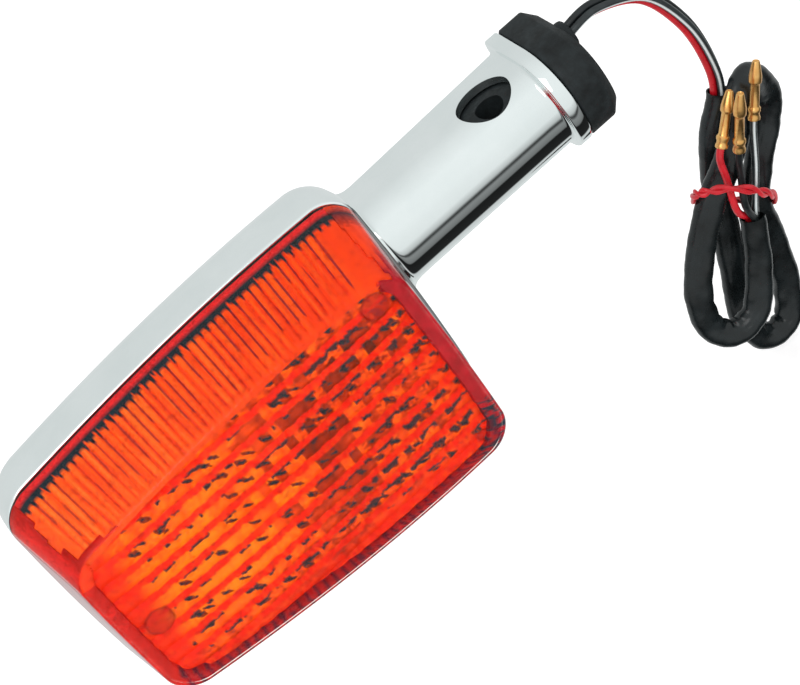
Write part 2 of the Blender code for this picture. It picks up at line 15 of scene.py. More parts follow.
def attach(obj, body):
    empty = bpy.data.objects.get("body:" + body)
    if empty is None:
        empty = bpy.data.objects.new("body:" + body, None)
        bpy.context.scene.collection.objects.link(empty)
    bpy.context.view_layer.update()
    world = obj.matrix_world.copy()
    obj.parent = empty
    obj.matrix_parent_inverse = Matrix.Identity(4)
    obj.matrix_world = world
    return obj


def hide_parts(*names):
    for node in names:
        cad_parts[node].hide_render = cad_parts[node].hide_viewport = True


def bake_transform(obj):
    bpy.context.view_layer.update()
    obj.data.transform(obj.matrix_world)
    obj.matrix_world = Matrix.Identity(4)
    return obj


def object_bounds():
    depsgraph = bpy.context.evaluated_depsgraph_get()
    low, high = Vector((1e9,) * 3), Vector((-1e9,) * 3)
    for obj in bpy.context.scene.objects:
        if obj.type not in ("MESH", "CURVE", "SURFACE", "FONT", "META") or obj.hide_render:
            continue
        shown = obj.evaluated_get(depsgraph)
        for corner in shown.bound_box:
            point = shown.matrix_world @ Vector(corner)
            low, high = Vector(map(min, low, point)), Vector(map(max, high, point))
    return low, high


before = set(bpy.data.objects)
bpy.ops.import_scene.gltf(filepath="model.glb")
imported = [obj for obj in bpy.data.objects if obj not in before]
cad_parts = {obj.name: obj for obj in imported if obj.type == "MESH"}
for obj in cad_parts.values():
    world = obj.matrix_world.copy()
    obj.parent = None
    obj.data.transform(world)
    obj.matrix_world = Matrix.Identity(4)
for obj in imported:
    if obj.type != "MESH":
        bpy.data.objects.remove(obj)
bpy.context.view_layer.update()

MM = 0.001

# ---------------------------------------------------------------- driving dimensions
LAMP_X = -124.2
RIM_Y, BACK_Y = -12.5, 15.5  # housing, front to back
LENS_BASE_Y, LENS_FRONT_Y = -13.6, -38.5
LENS_CROWN = 2.0
WALL = 2.2
STEM_START_X, STEM_R, STEM_BACK = -67.9, 12.5, 12.0
COLLAR_X, COLLAR_END_X, FLANGE_R = -14.3, -10.4, 14.5
DAMPER_X, PIVOT_X, ACCESS_R = -10.1, -26.1, 7.8
SECTION_SHIFT = 1.4  # stem and damper sections sit this far off the X axis, in +Y and +Z
SCREWS = {"upper": (-82.2, 17.0), "lower": (-166.2, -10.0)}  # x, z

# Lamp outlines about (LAMP_X, z = 0): left and right x, top z at the left and right,
# bottom z at the left and right, then the bulge of the top, the bottom and the sides
HOUSING = (-53.9, 55.0, 26.1, 31.6, -35.9, -43.1, 2.7, 3.0, 0.8)
LENS_BASE = (-53.7, 54.1, 25.9, 31.4, -35.7, -42.9, 2.7, 3.0, 0.8)
LENS_FRONT = (-50.0, 50.8, 18.2, 23.6, -31.5, -38.9, 2.3, 3.0, 0.5)


# ---------------------------------------------------------------- material helpers
def srgb(*channels):
    """Linear colour from 0-255 sRGB channels."""
    shares = [c / 255 for c in channels]
    return tuple(s / 12.92 if s <= 0.04045 else ((s + 0.055) / 1.055) ** 2.4 for s in shares)


def feed(node, inputs):
    """Links each input that is given a socket, and sets the others."""
    for key, value in inputs.items():
        if isinstance(value, bpy.types.NodeSocket):
            node.id_data.links.new(value, node.inputs[key])
        else:
            node.inputs[key].default_value = value


def add_node(tree, kind, inputs=None, **props):
    node = tree.nodes.new(kind)
    for key, value in props.items():
        setattr(node, key, value)
    feed(node, inputs or {})
    return node


def add_ramp(tree, factor, stops):
    """Colour ramp from (position, colour) stops."""
    node = add_node(tree, "ShaderNodeValToRGB", {"Fac": factor})
    elements = node.color_ramp.elements
    while len(elements) < len(stops):
        elements.new(0.5)
    for element, (position, color) in zip(elements, stops):
        element.position = position
        element.color = (*color, 1)
    return node.outputs["Color"]


class Material:
    """A node material round one Principled shader."""

    def __init__(self, name, color, rough, metal=0.0, **inputs):
        self.material = bpy.data.materials.new(name)
        self.material.use_nodes = True
        self.tree = self.material.node_tree
        self.shader = self.tree.nodes["Principled BSDF"]
        self.coords = None
        self.set(Base_Color=(*color, 1), Roughness=rough, Metallic=metal, **inputs)

    def set(self, **inputs):
        """Feeds the shader; an underscore stands for a space in an input's name."""
        feed(self.shader, {key.replace("_", " "): value for key, value in inputs.items()})

    def node(self, kind, inputs=None, **props):
        return add_node(self.tree, kind, inputs, **props)

    def noise(self, scale, detail=3.0, rough=0.55, distortion=0.0):
        if self.coords is None:
            self.coords = self.node("ShaderNodeTexCoord").outputs["Object"]
        inputs = {"Vector": self.coords, "Scale": scale, "Detail": detail}
        inputs.update({"Roughness": rough, "Distortion": distortion})
        return self.node("ShaderNodeTexNoise", inputs).outputs["Fac"]

    def ramp(self, factor, *stops):
        return add_ramp(self.tree, factor, stops)

    def vary_rough(self, factor, low, high):
        inputs = {"Value": factor, "To Min": low, "To Max": high}
        self.set(Roughness=self.node("ShaderNodeMapRange", inputs).outputs["Result"])

    def bump(self, factor, strength, distance):
        inputs = {"Height": factor, "Strength": strength, "Distance": distance}
        self.set(Normal=self.node("ShaderNodeBump", inputs).outputs["Normal"])


# ---------------------------------------------------------------- materials
def chrome():
    mat = Material("chrome_plate", (0.90, 0.935, 0.93), rough=0.05, metal=1.0)
    haze = mat.noise(scale=60, detail=4, rough=0.6)
    mat.set(Base_Color=mat.ramp(haze, (0.3, (0.86, 0.90, 0.895)), (0.7, (0.92, 0.95, 0.945))))
    mat.vary_rough(mat.noise(scale=400), low=0.03, high=0.085)
    mat.bump(mat.noise(scale=90, detail=2), strength=0.05, distance=0.0003)
    return mat.material


def rubber():
    mat = Material("moulded_rubber", srgb(20, 25, 26), rough=0.62, Specular_IOR_Level=0.3)
    grain = mat.noise(scale=300, detail=5)
    mat.set(Base_Color=mat.ramp(grain, (0.3, srgb(13, 17, 18)), (0.75, srgb(32, 39, 41))))
    mat.vary_rough(mat.noise(scale=900, detail=2), low=0.5, high=0.75)
    mat.bump(mat.noise(scale=2600), strength=0.35, distance=0.00012)
    return mat.material


def metal(name, dark, light, rough, scale, bump=0.08):
    """Metal mottled between two colours; rough is its lowest and highest roughness."""
    mat = Material(name, dark, rough=0.3, metal=1.0)
    mottle = mat.noise(scale=scale, detail=4, rough=0.6)
    mat.set(Base_Color=mat.ramp(mottle, (0.3, dark), (0.7, light)))
    mat.vary_rough(mat.noise(scale=scale * 1.7), *rough)
    mat.bump(mat.noise(scale=scale * 1.3, detail=2, rough=0.5), strength=bump, distance=0.0002)
    return mat.material


def plastic(name, dark, light, rough, scale, bump=0.15, specular=0.5):
    """Plastic mottled between two colours; rough is its lowest and highest roughness."""
    mat = Material(name, dark, rough=0.4, Specular_IOR_Level=specular)
    mottle = mat.noise(scale=scale, detail=4)
    mat.set(Base_Color=mat.ramp(mottle, (0.3, dark), (0.72, light)))
    mat.vary_rough(mat.noise(scale=scale * 2), *rough)
    mat.bump(mat.noise(scale=scale * 1.2), strength=bump, distance=0.0003)
    return mat.material


def tracer():
    """Black insulation with a light line where the piece's stripe attribute is 1."""
    mat = Material("tracer_pvc", srgb(30, 36, 38), rough=0.35)
    stripe = mat.node("ShaderNodeAttribute", attribute_name="stripe").outputs["Fac"]
    black = mat.ramp(mat.noise(scale=500), (0.3, srgb(24, 30, 32)), (0.7, srgb(42, 50, 52)))
    inputs = {"Fac": stripe, "Color1": black, "Color2": (*srgb(205, 212, 212), 1)}
    mat.set(Base_Color=mat.node("ShaderNodeMixRGB", inputs).outputs["Color"])
    mat.vary_rough(mat.noise(scale=600, detail=2), low=0.25, high=0.4)
    mat.bump(mat.noise(scale=700, detail=2), strength=0.1, distance=0.0001)
    return mat.material


def lens_skin_material():
    """Clear tinted wall that turns deep and solid where it is seen edge on."""
    mat = Material("amber_skin", (1.0, 0.88, 0.82), rough=0.02, Transmission_Weight=1.0, IOR=1.16)
    tint = mat.noise(scale=50, detail=2)
    clear = mat.ramp(tint, (0.3, (1.0, 0.86, 0.79)), (0.7, (1.0, 0.90, 0.85)))
    facing = mat.node("ShaderNodeLayerWeight", {"Blend": 0.5}).outputs["Facing"]
    edge = mat.ramp(facing, (0.70, (0, 0, 0)), (0.84, (1, 1, 1)))
    inputs = {"Fac": edge, "Color1": clear, "Color2": (*srgb(150, 12, 24), 1)}
    see_through = mat.node("ShaderNodeMath", {0: 1.0, 1: edge}, operation="SUBTRACT")
    mat.set(
        Base_Color=mat.node("ShaderNodeMixRGB", inputs).outputs["Color"],
        Transmission_Weight=see_through.outputs[0],
    )
    mat.bump(mat.noise(scale=35, detail=2), strength=0.04, distance=0.0004)
    return mat.material


def optics_material():
    """Moulded optics: the tone attribute gives the colour with its painted light and reflections, and
    noise the swirls in it; the slight emission is painted glow.
    """
    mat = Material("amber_optics", (1, 0.3, 0.02), rough=0.22, Specular_IOR_Level=0.1)
    painted = mat.node("ShaderNodeAttribute", attribute_name="tone").outputs["Color"]
    swirl = mat.noise(scale=650, detail=4, rough=0.65, distortion=1.6)
    shade = mat.ramp(swirl, (0.38, (0.62, 0.5, 0.45)), (0.52, (1, 1, 1)), (0.75, (1.1, 1.2, 1.1)))
    inputs = {"Fac": 0.75, "Color1": painted, "Color2": shade}
    color = mat.node("ShaderNodeMixRGB", inputs, blend_type="MULTIPLY").outputs["Color"]
    # painted glow: a slight emission, though the optics are no lamp
    mat.set(Base_Color=color, Emission_Color=color, Emission_Strength=0.22)
    mat.vary_rough(swirl, low=0.12, high=0.35)
    relief = mat.noise(scale=900, rough=0.6, distortion=0.8)
    mat.bump(relief, strength=0.25, distance=0.0002)
    return mat.material


def glass():
    mat = Material("bulb_glass", (1, 1, 1), rough=0.01, Transmission_Weight=1.0)
    mat.bump(mat.noise(scale=60, detail=2), strength=0.02, distance=0.0003)
    return mat.material


CHROME, RUBBER, TRACER = chrome(), rubber(), tracer()
SKIN, OPTICS = lens_skin_material(), optics_material()
BRASS = metal("brass_terminal", srgb(232, 170, 96), srgb(246, 196, 124), (0.2, 0.42), scale=700)
STEEL = metal("zinc_plate", (0.55, 0.56, 0.55), (0.68, 0.68, 0.66), (0.22, 0.42), scale=600)
MIRROR = metal(
    "bright_reflector", (0.82, 0.82, 0.83), (0.9, 0.9, 0.9), (0.06, 0.16), scale=120, bump=0.03
)
TUNGSTEN = metal("tungsten_wire", (0.3, 0.3, 0.32), (0.42, 0.42, 0.43), (0.3, 0.5), scale=900)
PHENOLIC = plastic("phenolic_board", srgb(92, 58, 38), srgb(120, 80, 54), (0.5, 0.7), scale=400)
BLACK_PVC = plastic(
    "black_pvc", srgb(14, 18, 19), srgb(30, 36, 38), (0.26, 0.42), scale=300, bump=0.12, specular=0.42
)
SLEEVE_PVC = plastic(
    "sleeve_pvc", srgb(8, 12, 13), srgb(24, 31, 33), (0.2, 0.34), scale=160, bump=0.35, specular=0.42
)
RED_PVC = plastic(
    "red_pvc", srgb(176, 12, 26), srgb(206, 24, 40), (0.22, 0.38), scale=300, bump=0.1
)
GLASS = glass()


# ---------------------------------------------------------------- mesh helpers
def tidy(mesh, weld=False):
    """Turns the faces outwards, and can weld points that coincide."""
    bm = bmesh.new()
    bm.from_mesh(mesh)
    if weld:
        bmesh.ops.remove_doubles(bm, verts=bm.verts, dist=1e-7)
    bmesh.ops.recalc_face_normals(bm, faces=bm.faces)
    bm.to_mesh(mesh)
    bm.free()


def shade(mesh, angle=35):
    """Smooth shading, with edges sharper than the angle in degrees kept sharp."""
    mesh.shade_smooth()
    mesh.set_sharp_from_angle(angle=math.radians(angle))


def add_object(name, data):
    obj = bpy.data.objects.new(name, data)
    bpy.context.scene.collection.objects.link(obj)
    return obj


def piece(name, shape, material, body=None, smooth=35, colors=None, attribute="tone"):
    """Object from a shape, which is (points in mm, faces); it rides the body if one is named."""
    points, faces = shape
    points = np.asarray([tuple(p) for p in points], float) * MM
    mesh = bpy.data.meshes.new(name)
    mesh.from_pydata(points.tolist(), [], faces)
    if colors is not None:
        layer = mesh.color_attributes.new(attribute, "FLOAT_COLOR", "POINT")
        rgba = np.ones((len(points), 4), np.float32)
        rgba[:, :3] = colors
        layer.data.foreach_set("color", rgba.ravel())
    tidy(mesh, weld=True)
    mesh.materials.append(material)
    shade(mesh, smooth)
    obj = add_object(name, mesh)
    if body:
        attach(obj, body)
    return obj


def join(*shapes):
    points, faces = [], []
    for own_points, own_faces in shapes:
        faces += [tuple(len(points) + k for k in face) for face in own_faces]
        points += own_points
    return points, faces


def loft(loops, cap_first=True, ring=False):
    """Skin over loops of equal length, capped with fans, or closed on itself as a ring."""
    n, last = len(loops[0]), len(loops) - 1
    points = [p for loop in loops for p in loop]
    faces = []
    for a, b in [(i, i + 1) for i in range(last)] + ([(last, 0)] if ring else []):
        for k in range(n):
            j = (k + 1) % n
            faces.append((a * n + k, a * n + j, b * n + j, b * n + k))
    caps = [] if ring else [0, last * n] if cap_first else [last * n]
    for base in caps:
        rim = np.asarray([tuple(p) for p in points[base : base + n]])
        points.append(tuple(np.mean(rim, axis=0)))
        hub = len(points) - 1
        faces += [(base + k, base + (k + 1) % n, hub) for k in range(n)]
    return points, faces


def shell(outer, inner):
    """Two lofts capped at their last loops and joined by a rim at their first."""
    n = len(outer[0])
    outside = loft(outer, cap_first=False)
    shift = len(outside[0])
    points, faces = join(outside, loft(inner, cap_first=False))
    faces += [(k, (k + 1) % n, shift + (k + 1) % n, shift + k) for k in range(n)]
    return points, faces


def lathe(profile, n, axis, at):
    """Round loops from (distance along the axis, radius) pairs."""
    loops = []
    for along, radius in profile:
        loop = []
        for k in range(n):
            angle = 2 * math.pi * k / n
            a, b = radius * math.cos(angle), radius * math.sin(angle)
            p = {"X": (along, a, b), "Y": (b, along, a), "Z": (a, b, along)}[axis]
            loop.append(tuple(p[i] + at[i] for i in range(3)))
        loops.append(loop)
    return loops


def cut(obj, shape):
    """Cuts a closed shape out of the piece, and keeps the result in its mesh."""
    points, faces = shape
    mesh = bpy.data.meshes.new("tool")
    mesh.from_pydata([tuple(c * MM for c in p) for p in points], [], faces)
    tidy(mesh)
    tool = add_object("tool", mesh)
    mod = obj.modifiers.new("cut", "BOOLEAN")
    mod.operation, mod.solver, mod.object = "DIFFERENCE", "EXACT", tool
    bpy.context.view_layer.update()
    graph = bpy.context.evaluated_depsgraph_get()
    result = bpy.data.meshes.new_from_object(obj.evaluated_get(graph))
    obj.modifiers.remove(mod)
    obj.data = result
    shade(result)
    bpy.data.objects.remove(tool, do_unlink=True)


def outline(y, plan, insets, radius, corner_steps, edge_steps):
    """Loop round the lamp at y; insets are for the left, right, top and bottom."""
    left, right, top_l, top_r, low_l, low_r, top_bulge, low_bulge, side_bulge = plan
    in_left, in_right, in_top, in_low = insets
    left, right = left + in_left, right - in_right
    top_l, top_r, low_l, low_r = top_l - in_top, top_r - in_top, low_l + in_low, low_r + in_low
    half_x, mid_x = (right - left) / 2, (right + left) / 2
    half_z, mid_z = (top_l + top_r - low_l - low_r) / 4, (top_l + top_r + low_l + low_r) / 4
    corners = [Vector(c) for c in ((left, top_l), (right, top_r), (right, low_r), (left, low_l))]
    starts, ends = [], []  # of each corner's arc
    for i, corner in enumerate(corners):
        before, after = corners[i - 1] - corner, corners[(i + 1) % 4] - corner
        reach = min(radius, 0.45 * min(before.length, after.length))
        starts.append(corner + before.normalized() * reach)
        ends.append(corner + after.normalized() * reach)
    points = []
    for i, corner in enumerate(corners):
        for k in range(corner_steps + 1):
            s = k / corner_steps
            a, b, c = (1 - s) ** 2, 2 * s * (1 - s) * math.sqrt(0.5), s * s
            points.append((starts[i] * a + corner * b + ends[i] * c) / (a + b + c))
        following = starts[(i + 1) % 4]
        points += [ends[i].lerp(following, k / edge_steps) for k in range(1, edge_steps)]
    loop = []
    for p in points:
        u, v = (p.x - mid_x) / half_x, (p.y - mid_z) / half_z
        rise = (top_bulge if v > 0 else -low_bulge) * (1 - u * u) * abs(v)
        spread = math.copysign(side_bulge * (1 - min(1, v * v)) * abs(u), u)
        loop.append((LAMP_X + p.x + spread, y, p.y + rise))
    return loop


def blend_plans(a, b, share):
    return tuple(p + (q - p) * share for p, q in zip(a, b))


def scaled(loop, factor, axis, level):
    """Loop scaled about its middle and laid flat at a level on one axis (0 X, 1 Y, 2 Z)."""
    middle = [sum(p[i] for p in loop) / len(loop) for i in range(3)]
    middle_scaled = [[middle[i] + (p[i] - middle[i]) * factor for i in range(3)] for p in loop]
    for p in middle_scaled:
        p[axis] = level
    return [tuple(p) for p in middle_scaled]


def section(x, radius, back, tilt=1.3):
    """Stem section: round towards -Y, flat at back, with a facet on top that drops by tilt."""
    steps, corner, corner_points = 56, 3.0, 9
    power = 2.0 / 2.3  # slightly squarer than a circle
    points = []
    for k in range(steps + 1):
        c, s = math.cos(math.pi * k / steps), math.sin(math.pi * k / steps)
        z = math.copysign(radius * abs(c) ** power, c) if abs(c) > 1e-9 else 0.0
        points.append((-radius * abs(s) ** power, z))
    arc = [math.pi / 2 * k / (corner_points - 1) for k in range(corner_points)]
    near, low, high = back - corner, -radius + corner, radius - tilt - corner
    points += [(near + corner * math.sin(t), low - corner * math.cos(t)) for t in arc]
    points += [(near + corner * math.cos(t), high + corner * math.sin(t)) for t in arc]
    # a few points along the facet keep its crease straight
    a, b = points[-1], points[0]
    points += [(a[0] + (b[0] - a[0]) * f, a[1] + (b[1] - a[1]) * f) for f in (0.3, 0.6, 0.9)]
    return [(x, y + SECTION_SHIFT, z + SECTION_SHIFT) for y, z in points]


def curve_through(points, steps):
    """Smooth curve through the points, with so many steps between each two."""
    p = [Vector(q) for q in points]
    p = [2 * p[0] - p[1]] + p + [2 * p[-1] - p[-2]]
    curve = []
    for i in range(1, len(p) - 2):
        a, b, c, d = p[i - 1 : i + 3]
        square, cube = 2 * a - 5 * b + 4 * c - d, 3 * b - a - 3 * c + d
        for k in range(steps):
            t = k / steps
            curve.append(0.5 * (2 * b + (c - a) * t + square * t * t + cube * t**3))
    curve.append(p[-2])
    return curve


def frames(path):
    """Two directions across the path at each point, carried along without twist."""
    last = len(path) - 1
    tangents = [(path[min(i + 1, last)] - path[max(i - 1, 0)]).normalized() for i in range(last + 1)]
    normal = tangents[0].orthogonal().normalized()
    pairs = []
    for tangent in tangents:
        normal = (normal - tangent * normal.dot(tangent)).normalized()
        pairs.append((normal.copy(), tangent.cross(normal)))
    return pairs


def tube_loops(path, radius, n, axes=None):
    """Loops round a path; radius is a number or a function of (index, angle)."""
    loops = []
    for i, (centre, (u, v)) in enumerate(zip(path, axes or frames(path))):
        loop = []
        for k in range(n):
            angle = 2 * math.pi * k / n
            r = radius(i, angle) if callable(radius) else radius
            loop.append(tuple(centre + (u * math.cos(angle) + v * math.sin(angle)) * r))
        loops.append(loop)
    return loops


# ---------------------------------------------------------------- housing
# y, how far the wall has drawn in from the outline
HOUSING_PROFILE = [
    (-8.0, 0.0), (-4.0, 0.2), (0.0, 1.0), (5.0, 3.9), (10.0, 9.0), (13.5, 14.4), (BACK_Y, 20.5),
]
HOUSING_LIP = [(0.0, 0.45), (0.15, 0.2), (0.45, 0.05), (0.9, 0.0)]  # y behind the rim, inset
TOWER = [  # y, radius
    (-0.7, 5.4), (-0.5, 5.8), (12.9, 5.8), (13.3, 5.65), (13.5, 5.3), (13.5, 4.5), (13.2, 4.2),
    (9.0, 4.2), (9.0, 1.8), (-0.7, 1.8),
]


def dish(y, inset, wall=0.0):
    """Housing loop; the side towards the stem draws in less than the others."""
    right = min(inset, 0.15 * inset + 0.4)
    insets = (0.9 * inset + wall, right + wall, inset + wall, 0.9 * inset + wall)
    return outline(y, HOUSING, insets, radius=9.0, corner_steps=14, edge_steps=16)


def build_housing():
    profile = curve_through([(y, inset, 0) for y, inset in HOUSING_PROFILE], 4)
    outer = [dish(RIM_Y + y, inset) for y, inset in HOUSING_LIP]
    outer += [dish(p.x, p.y) for p in profile]
    outer += [scaled(outer[-1], factor, 1, BACK_Y) for factor in (0.9, 0.7, 0.4, 0.15)]
    inner = [dish(RIM_Y, 0, 1.9), dish(RIM_Y + 2.5, 0, WALL)]
    inner += [dish(p.x - WALL, p.y, WALL) for p in profile[1:]]
    housing = piece("housing_shell", shell(outer, inner), CHROME, smooth=50)
    for side, (x, z) in SCREWS.items():
        cut(housing, loft(lathe([(1.0, 5.6), (20, 5.6)], 48, "Y", (x, 0, z))))
        tower = loft(lathe(TOWER, 48, "Y", (x, 0, z)), ring=True)
        piece(f"screw_tower_{side}", tower, CHROME, "lamp")
    pad = loft([section(x, 12.3, 12.2) for x in (-72.4, -68.4, -67.85)])
    piece("stem_pad", pad, CHROME, "lamp", smooth=40)
    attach(housing, "lamp")
    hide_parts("housing")


# ---------------------------------------------------------------- stem
ROOT_STEPS = (0.0, 0.25, 0.6, 1.1, 1.8, 2.8, 4.5)  # x from the stem's start
TAPER, BACK_GROWTH = 0.2, 2.8  # changes in radius and back along the stem
FILLET = 1.2
FLANGE = [  # x, inset from the flange's full size
    (COLLAR_X, 0.5), (COLLAR_X + 0.15, 0.2), (COLLAR_X + 0.45, 0.0),
    (COLLAR_END_X - 0.45, 0.0), (COLLAR_END_X - 0.12, 0.14), (COLLAR_END_X, 0.45),
]


def build_stem():
    loops = []
    for step in ROOT_STEPS:  # small flare where the stem meets the housing
        flare = 1.5 * math.exp(-step / 1.1)
        loops.append(section(STEM_START_X + step, STEM_R + flare * 0.75, STEM_BACK + flare))
    start_x, end_x = STEM_START_X + ROOT_STEPS[-1], COLLAR_X - FILLET
    for k in range(1, 15):
        t = k / 14
        x = start_x + (end_x - start_x) * t
        loops.append(section(x, STEM_R - TAPER * t, STEM_BACK + BACK_GROWTH * t))
    for k in range(1, 7):  # concave fillet up to the flange
        t = math.pi / 2 * k / 6
        x, rise = end_x + FILLET * math.sin(t), 1 - math.cos(t)
        radius, back = STEM_R - TAPER + FILLET * rise, STEM_BACK + BACK_GROWTH + rise
        loops.append(section(x, radius, back, 1.3 - 0.4 * t / 1.57))
    loops += [section(x, FLANGE_R - inset, 16.6 - inset, 0.7) for x, inset in FLANGE]
    bore = STEM_R - WALL
    loops += [
        section(COLLAR_END_X, bore + 0.2, 12.6),
        section(COLLAR_END_X - 0.4, bore, 12.4),
        section(COLLAR_X, bore, 12.4),
        section(STEM_START_X + 4, bore, 10.0),
    ]
    stem = piece("stem_shell", loft(loops), CHROME, smooth=28)
    # slightly oval hole in the top
    points, faces = loft(lathe([(3.0, ACCESS_R), (20, ACCESS_R)], 96, "Z", (PIVOT_X, 0, 0)))
    cut(stem, ([(PIVOT_X + (x - PIVOT_X) * 0.98, 0.7 + y * 0.90, z) for x, y, z in points], faces))
    # round hole through the lamp end
    cut(stem, loft(lathe([(-74, 3.2), (-59, 3.2)], 32, "X", (0, 6.0, 3.0))))
    bevel = stem.modifiers.new("edge", "BEVEL")
    bevel.width, bevel.segments = 0.0003, 2
    bevel.limit_method, bevel.angle_limit = "ANGLE", math.radians(40)
    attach(stem, "lamp")
    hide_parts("stem")


# ---------------------------------------------------------------- lens skin
def lens_loops(inset):
    """Loops over the lens from its base to the middle of its front."""
    steps = [(share, 0.0) for share in (0.0, 0.25, 0.5, 0.75, 0.955)]  # share of depth, inset
    for k in range(1, 9):  # rounded edge between side and front
        angle = math.pi / 2 * k / 8
        steps.append((0.955 + 0.045 * math.sin(angle), 1.1 * (1 - math.cos(angle))))
    loops = []
    for share, edge_inset in steps:
        y = LENS_BASE_Y + (LENS_FRONT_Y - LENS_BASE_Y) * share + (inset if share else 0)
        i = edge_inset + inset
        plan = blend_plans(LENS_BASE, LENS_FRONT, share)
        loops.append(outline(y, plan, (i, i, i * 0.75, i), 7.5, corner_steps=16, edge_steps=22))
    rim, rim_y = loops[-1], loops[-1][0][1]
    for factor in (0.9, 0.8, 0.68, 0.55, 0.42, 0.28, 0.14):
        loops.append(scaled(rim, factor, 1, rim_y - LENS_CROWN * (1 - factor * factor)))
    return loops


def build_lens_skin():
    skin = piece("lens_skin", shell(lens_loops(0.0), lens_loops(0.4)), SKIN, "lamp", smooth=60)
    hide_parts("lens")


# ---------------------------------------------------------------- optics: shared
CELL, RIB = 5.25, 2.17  # pitch of the front's cells and of the top's ribs
FRONT_X = (-48.4, 48.9)  # from here on x is measured from LAMP_X
BAND_X = (-52.9, 53.3)
FRONT_TOP, FRONT_BULGE = 20.9, 2.3
RISER_SHARE = 0.23  # of a row's height


def hash01(a, b, seed=0):
    n = np.sin(np.asarray(a) * 127.1 + np.asarray(b) * 311.7 + seed * 74.7) * 43758.5453
    return n - np.floor(n)


def value_noise(x, y, seed=0):
    """Smooth noise in 0..1 on a unit lattice."""
    xi, yi = np.floor(x).astype(int), np.floor(y).astype(int)
    fx, fy = x - xi, y - yi
    fx, fy = fx * fx * (3 - 2 * fx), fy * fy * (3 - 2 * fy)
    low = hash01(xi, yi, seed) * (1 - fx) + hash01(xi + 1, yi, seed) * fx
    high = hash01(xi, yi + 1, seed) * (1 - fx) + hash01(xi + 1, yi + 1, seed) * fx
    return low * (1 - fy) + high * fy


def clamp(values):
    return np.clip(values, 0, 1)


def tone(r, g, b):
    """The colour the optics need to look like this sRGB colour under the tinted skin."""
    return clamp(np.array(srgb(r, g, b)) * (1.0, 1.3, 1.7))


RED, ORANGE, YELLOW = tone(252, 38, 2), tone(255, 92, 6), tone(255, 148, 14)
BROWN, TEAL, DEEP = tone(132, 38, 10), tone(34, 42, 44), tone(186, 24, 10)
WARM = np.array((1.0, 0.74, 0.30))  # tint over the front's colours
# Glow is painted light: low glow paints dark reflections, high glow paints bright light seen through
# the lens.
FRONT_STOPS = [  # glow, colour
    (-0.3, TEAL), (0.02, TEAL), (0.17, BROWN), (0.34, tone(196, 54, 6)),
    (0.50, tone(252, 84, 4)), (0.64, tone(255, 110, 6)), (0.92, YELLOW), (1.6, YELLOW),
]
BAND_STOPS = [
    (0.0, tone(128, 22, 30)), (0.3, tone(214, 42, 20)), (0.55, tone(253, 72, 14)),
    (0.8, tone(255, 98, 24)), (1.2, tone(255, 118, 38)),
]


def blend_stops(glow, stops):
    glow = np.clip(glow, stops[0][0], stops[-1][0])
    color = np.zeros(glow.shape + (3,))
    for (p0, c0), (p1, c1) in zip(stops, stops[1:]):
        inside = (glow >= p0) & (glow <= p1)
        t = ((glow - p0) / (p1 - p0))[..., None]
        color = paint(color, inside, c0 * (1 - t) + c1 * t)
    return color


def paint(color, mask, new):
    return np.where(mask[..., None], new, color)


def corner_drop(x, limits, radius):
    """How far a corner of this radius draws the edge in at x."""
    half, middle = (limits[1] - limits[0]) / 2, (limits[1] + limits[0]) / 2
    edge = clamp((np.abs(x - middle) - (half - radius)) / radius)
    return radius * (1 - np.sqrt(1 - edge**2))


def grid_piece(name, x, y, z, color, smooth):
    rows, columns = x.shape
    faces = []
    for a in range(0, (rows - 1) * columns, columns):
        b = a + columns
        faces += [(a + i, a + i + 1, b + i + 1, b + i) for i in range(columns - 1)]
    points = np.stack([x + LAMP_X, y, z], -1).reshape(-1, 3)
    return piece(name, (points, faces), OPTICS, "lamp", smooth, color.reshape(-1, 3))


# ---------------------------------------------------------------- optics: front
# x, z and radius of the round spots
SPOTS = [(42.0, 17.0, 3.4), (-42.0, -10.0, 3.6), (44.0, -34.0, 1.5)]


class FrontCells:
    """Where each point of the front lies in its row and cell, and the random values there."""

    def __init__(self, x, z):
        self.x, self.z = x, z
        wave = 0.34 * np.abs(np.sin(np.pi * x / CELL))
        wave = wave + 0.12 * (value_noise(x / 2.1, z / 4.0, 3) - 0.5)
        rows = ((FRONT_TOP + FRONT_BULGE) - z + wave) / CELL
        self.row = np.floor(rows)
        self.down = rows - self.row  # 0 at a row's top
        self.column = np.floor(x / CELL)
        wobble = value_noise(x / 1.7, self.row * 2.7, 41) - 0.5
        self.riser_end = RISER_SHARE + 0.10 * wobble
        self.riser = self.down < self.riser_end
        across = x / CELL - self.column
        below = clamp((self.down - self.riser_end) / (1 - self.riser_end))
        self.pillow = np.sin(np.pi * across) * np.sin(np.pi * below)
        halves = 2 * x / CELL + 0.5 * self.row  # half cells, staggered row by row
        self.half = np.floor(halves)
        self.half_across = halves - self.half
        self.right = clamp((x - 2) / 30)
        self.cell_random = hash01(self.column, self.row, 1)
        coarse = value_noise(x / 0.75 + 0.6 * np.sin(z), z / 0.75, 5)
        self.fine = coarse * 0.55 + value_noise(x / 0.33, z / 0.4, 6) * 0.45

    def half_random(self, seed):
        return hash01(self.half, self.row, seed)


def front_limits(x):
    """Top and bottom of the front optics at x."""
    bulge = 1 - (x / 50.0) * (x / 50.0)
    top = FRONT_TOP - 1.6 + 0.053 * x + FRONT_BULGE * bulge
    bottom = -34.2 + 1.9 - 0.0716 * x - 3.0 * bulge
    return top, bottom


def front_depth(cells):
    """y of the front: crowned, stepped in rows and pillowed in cells."""
    down, end = cells.down, cells.riser_end
    slope = np.where(cells.riser, down / end, (1 - down) / (1 - end))
    height = 1.25 * slope + 0.5 * cells.pillow * (~cells.riser)
    u, v = (cells.x - sum(FRONT_X) / 2) / 50.5, (cells.z + 8.0) / 31.0
    crown = LENS_CROWN * (1 - clamp(np.maximum(np.abs(u), np.abs(v))) ** 2)
    return LENS_FRONT_Y + 3.5 - crown - height


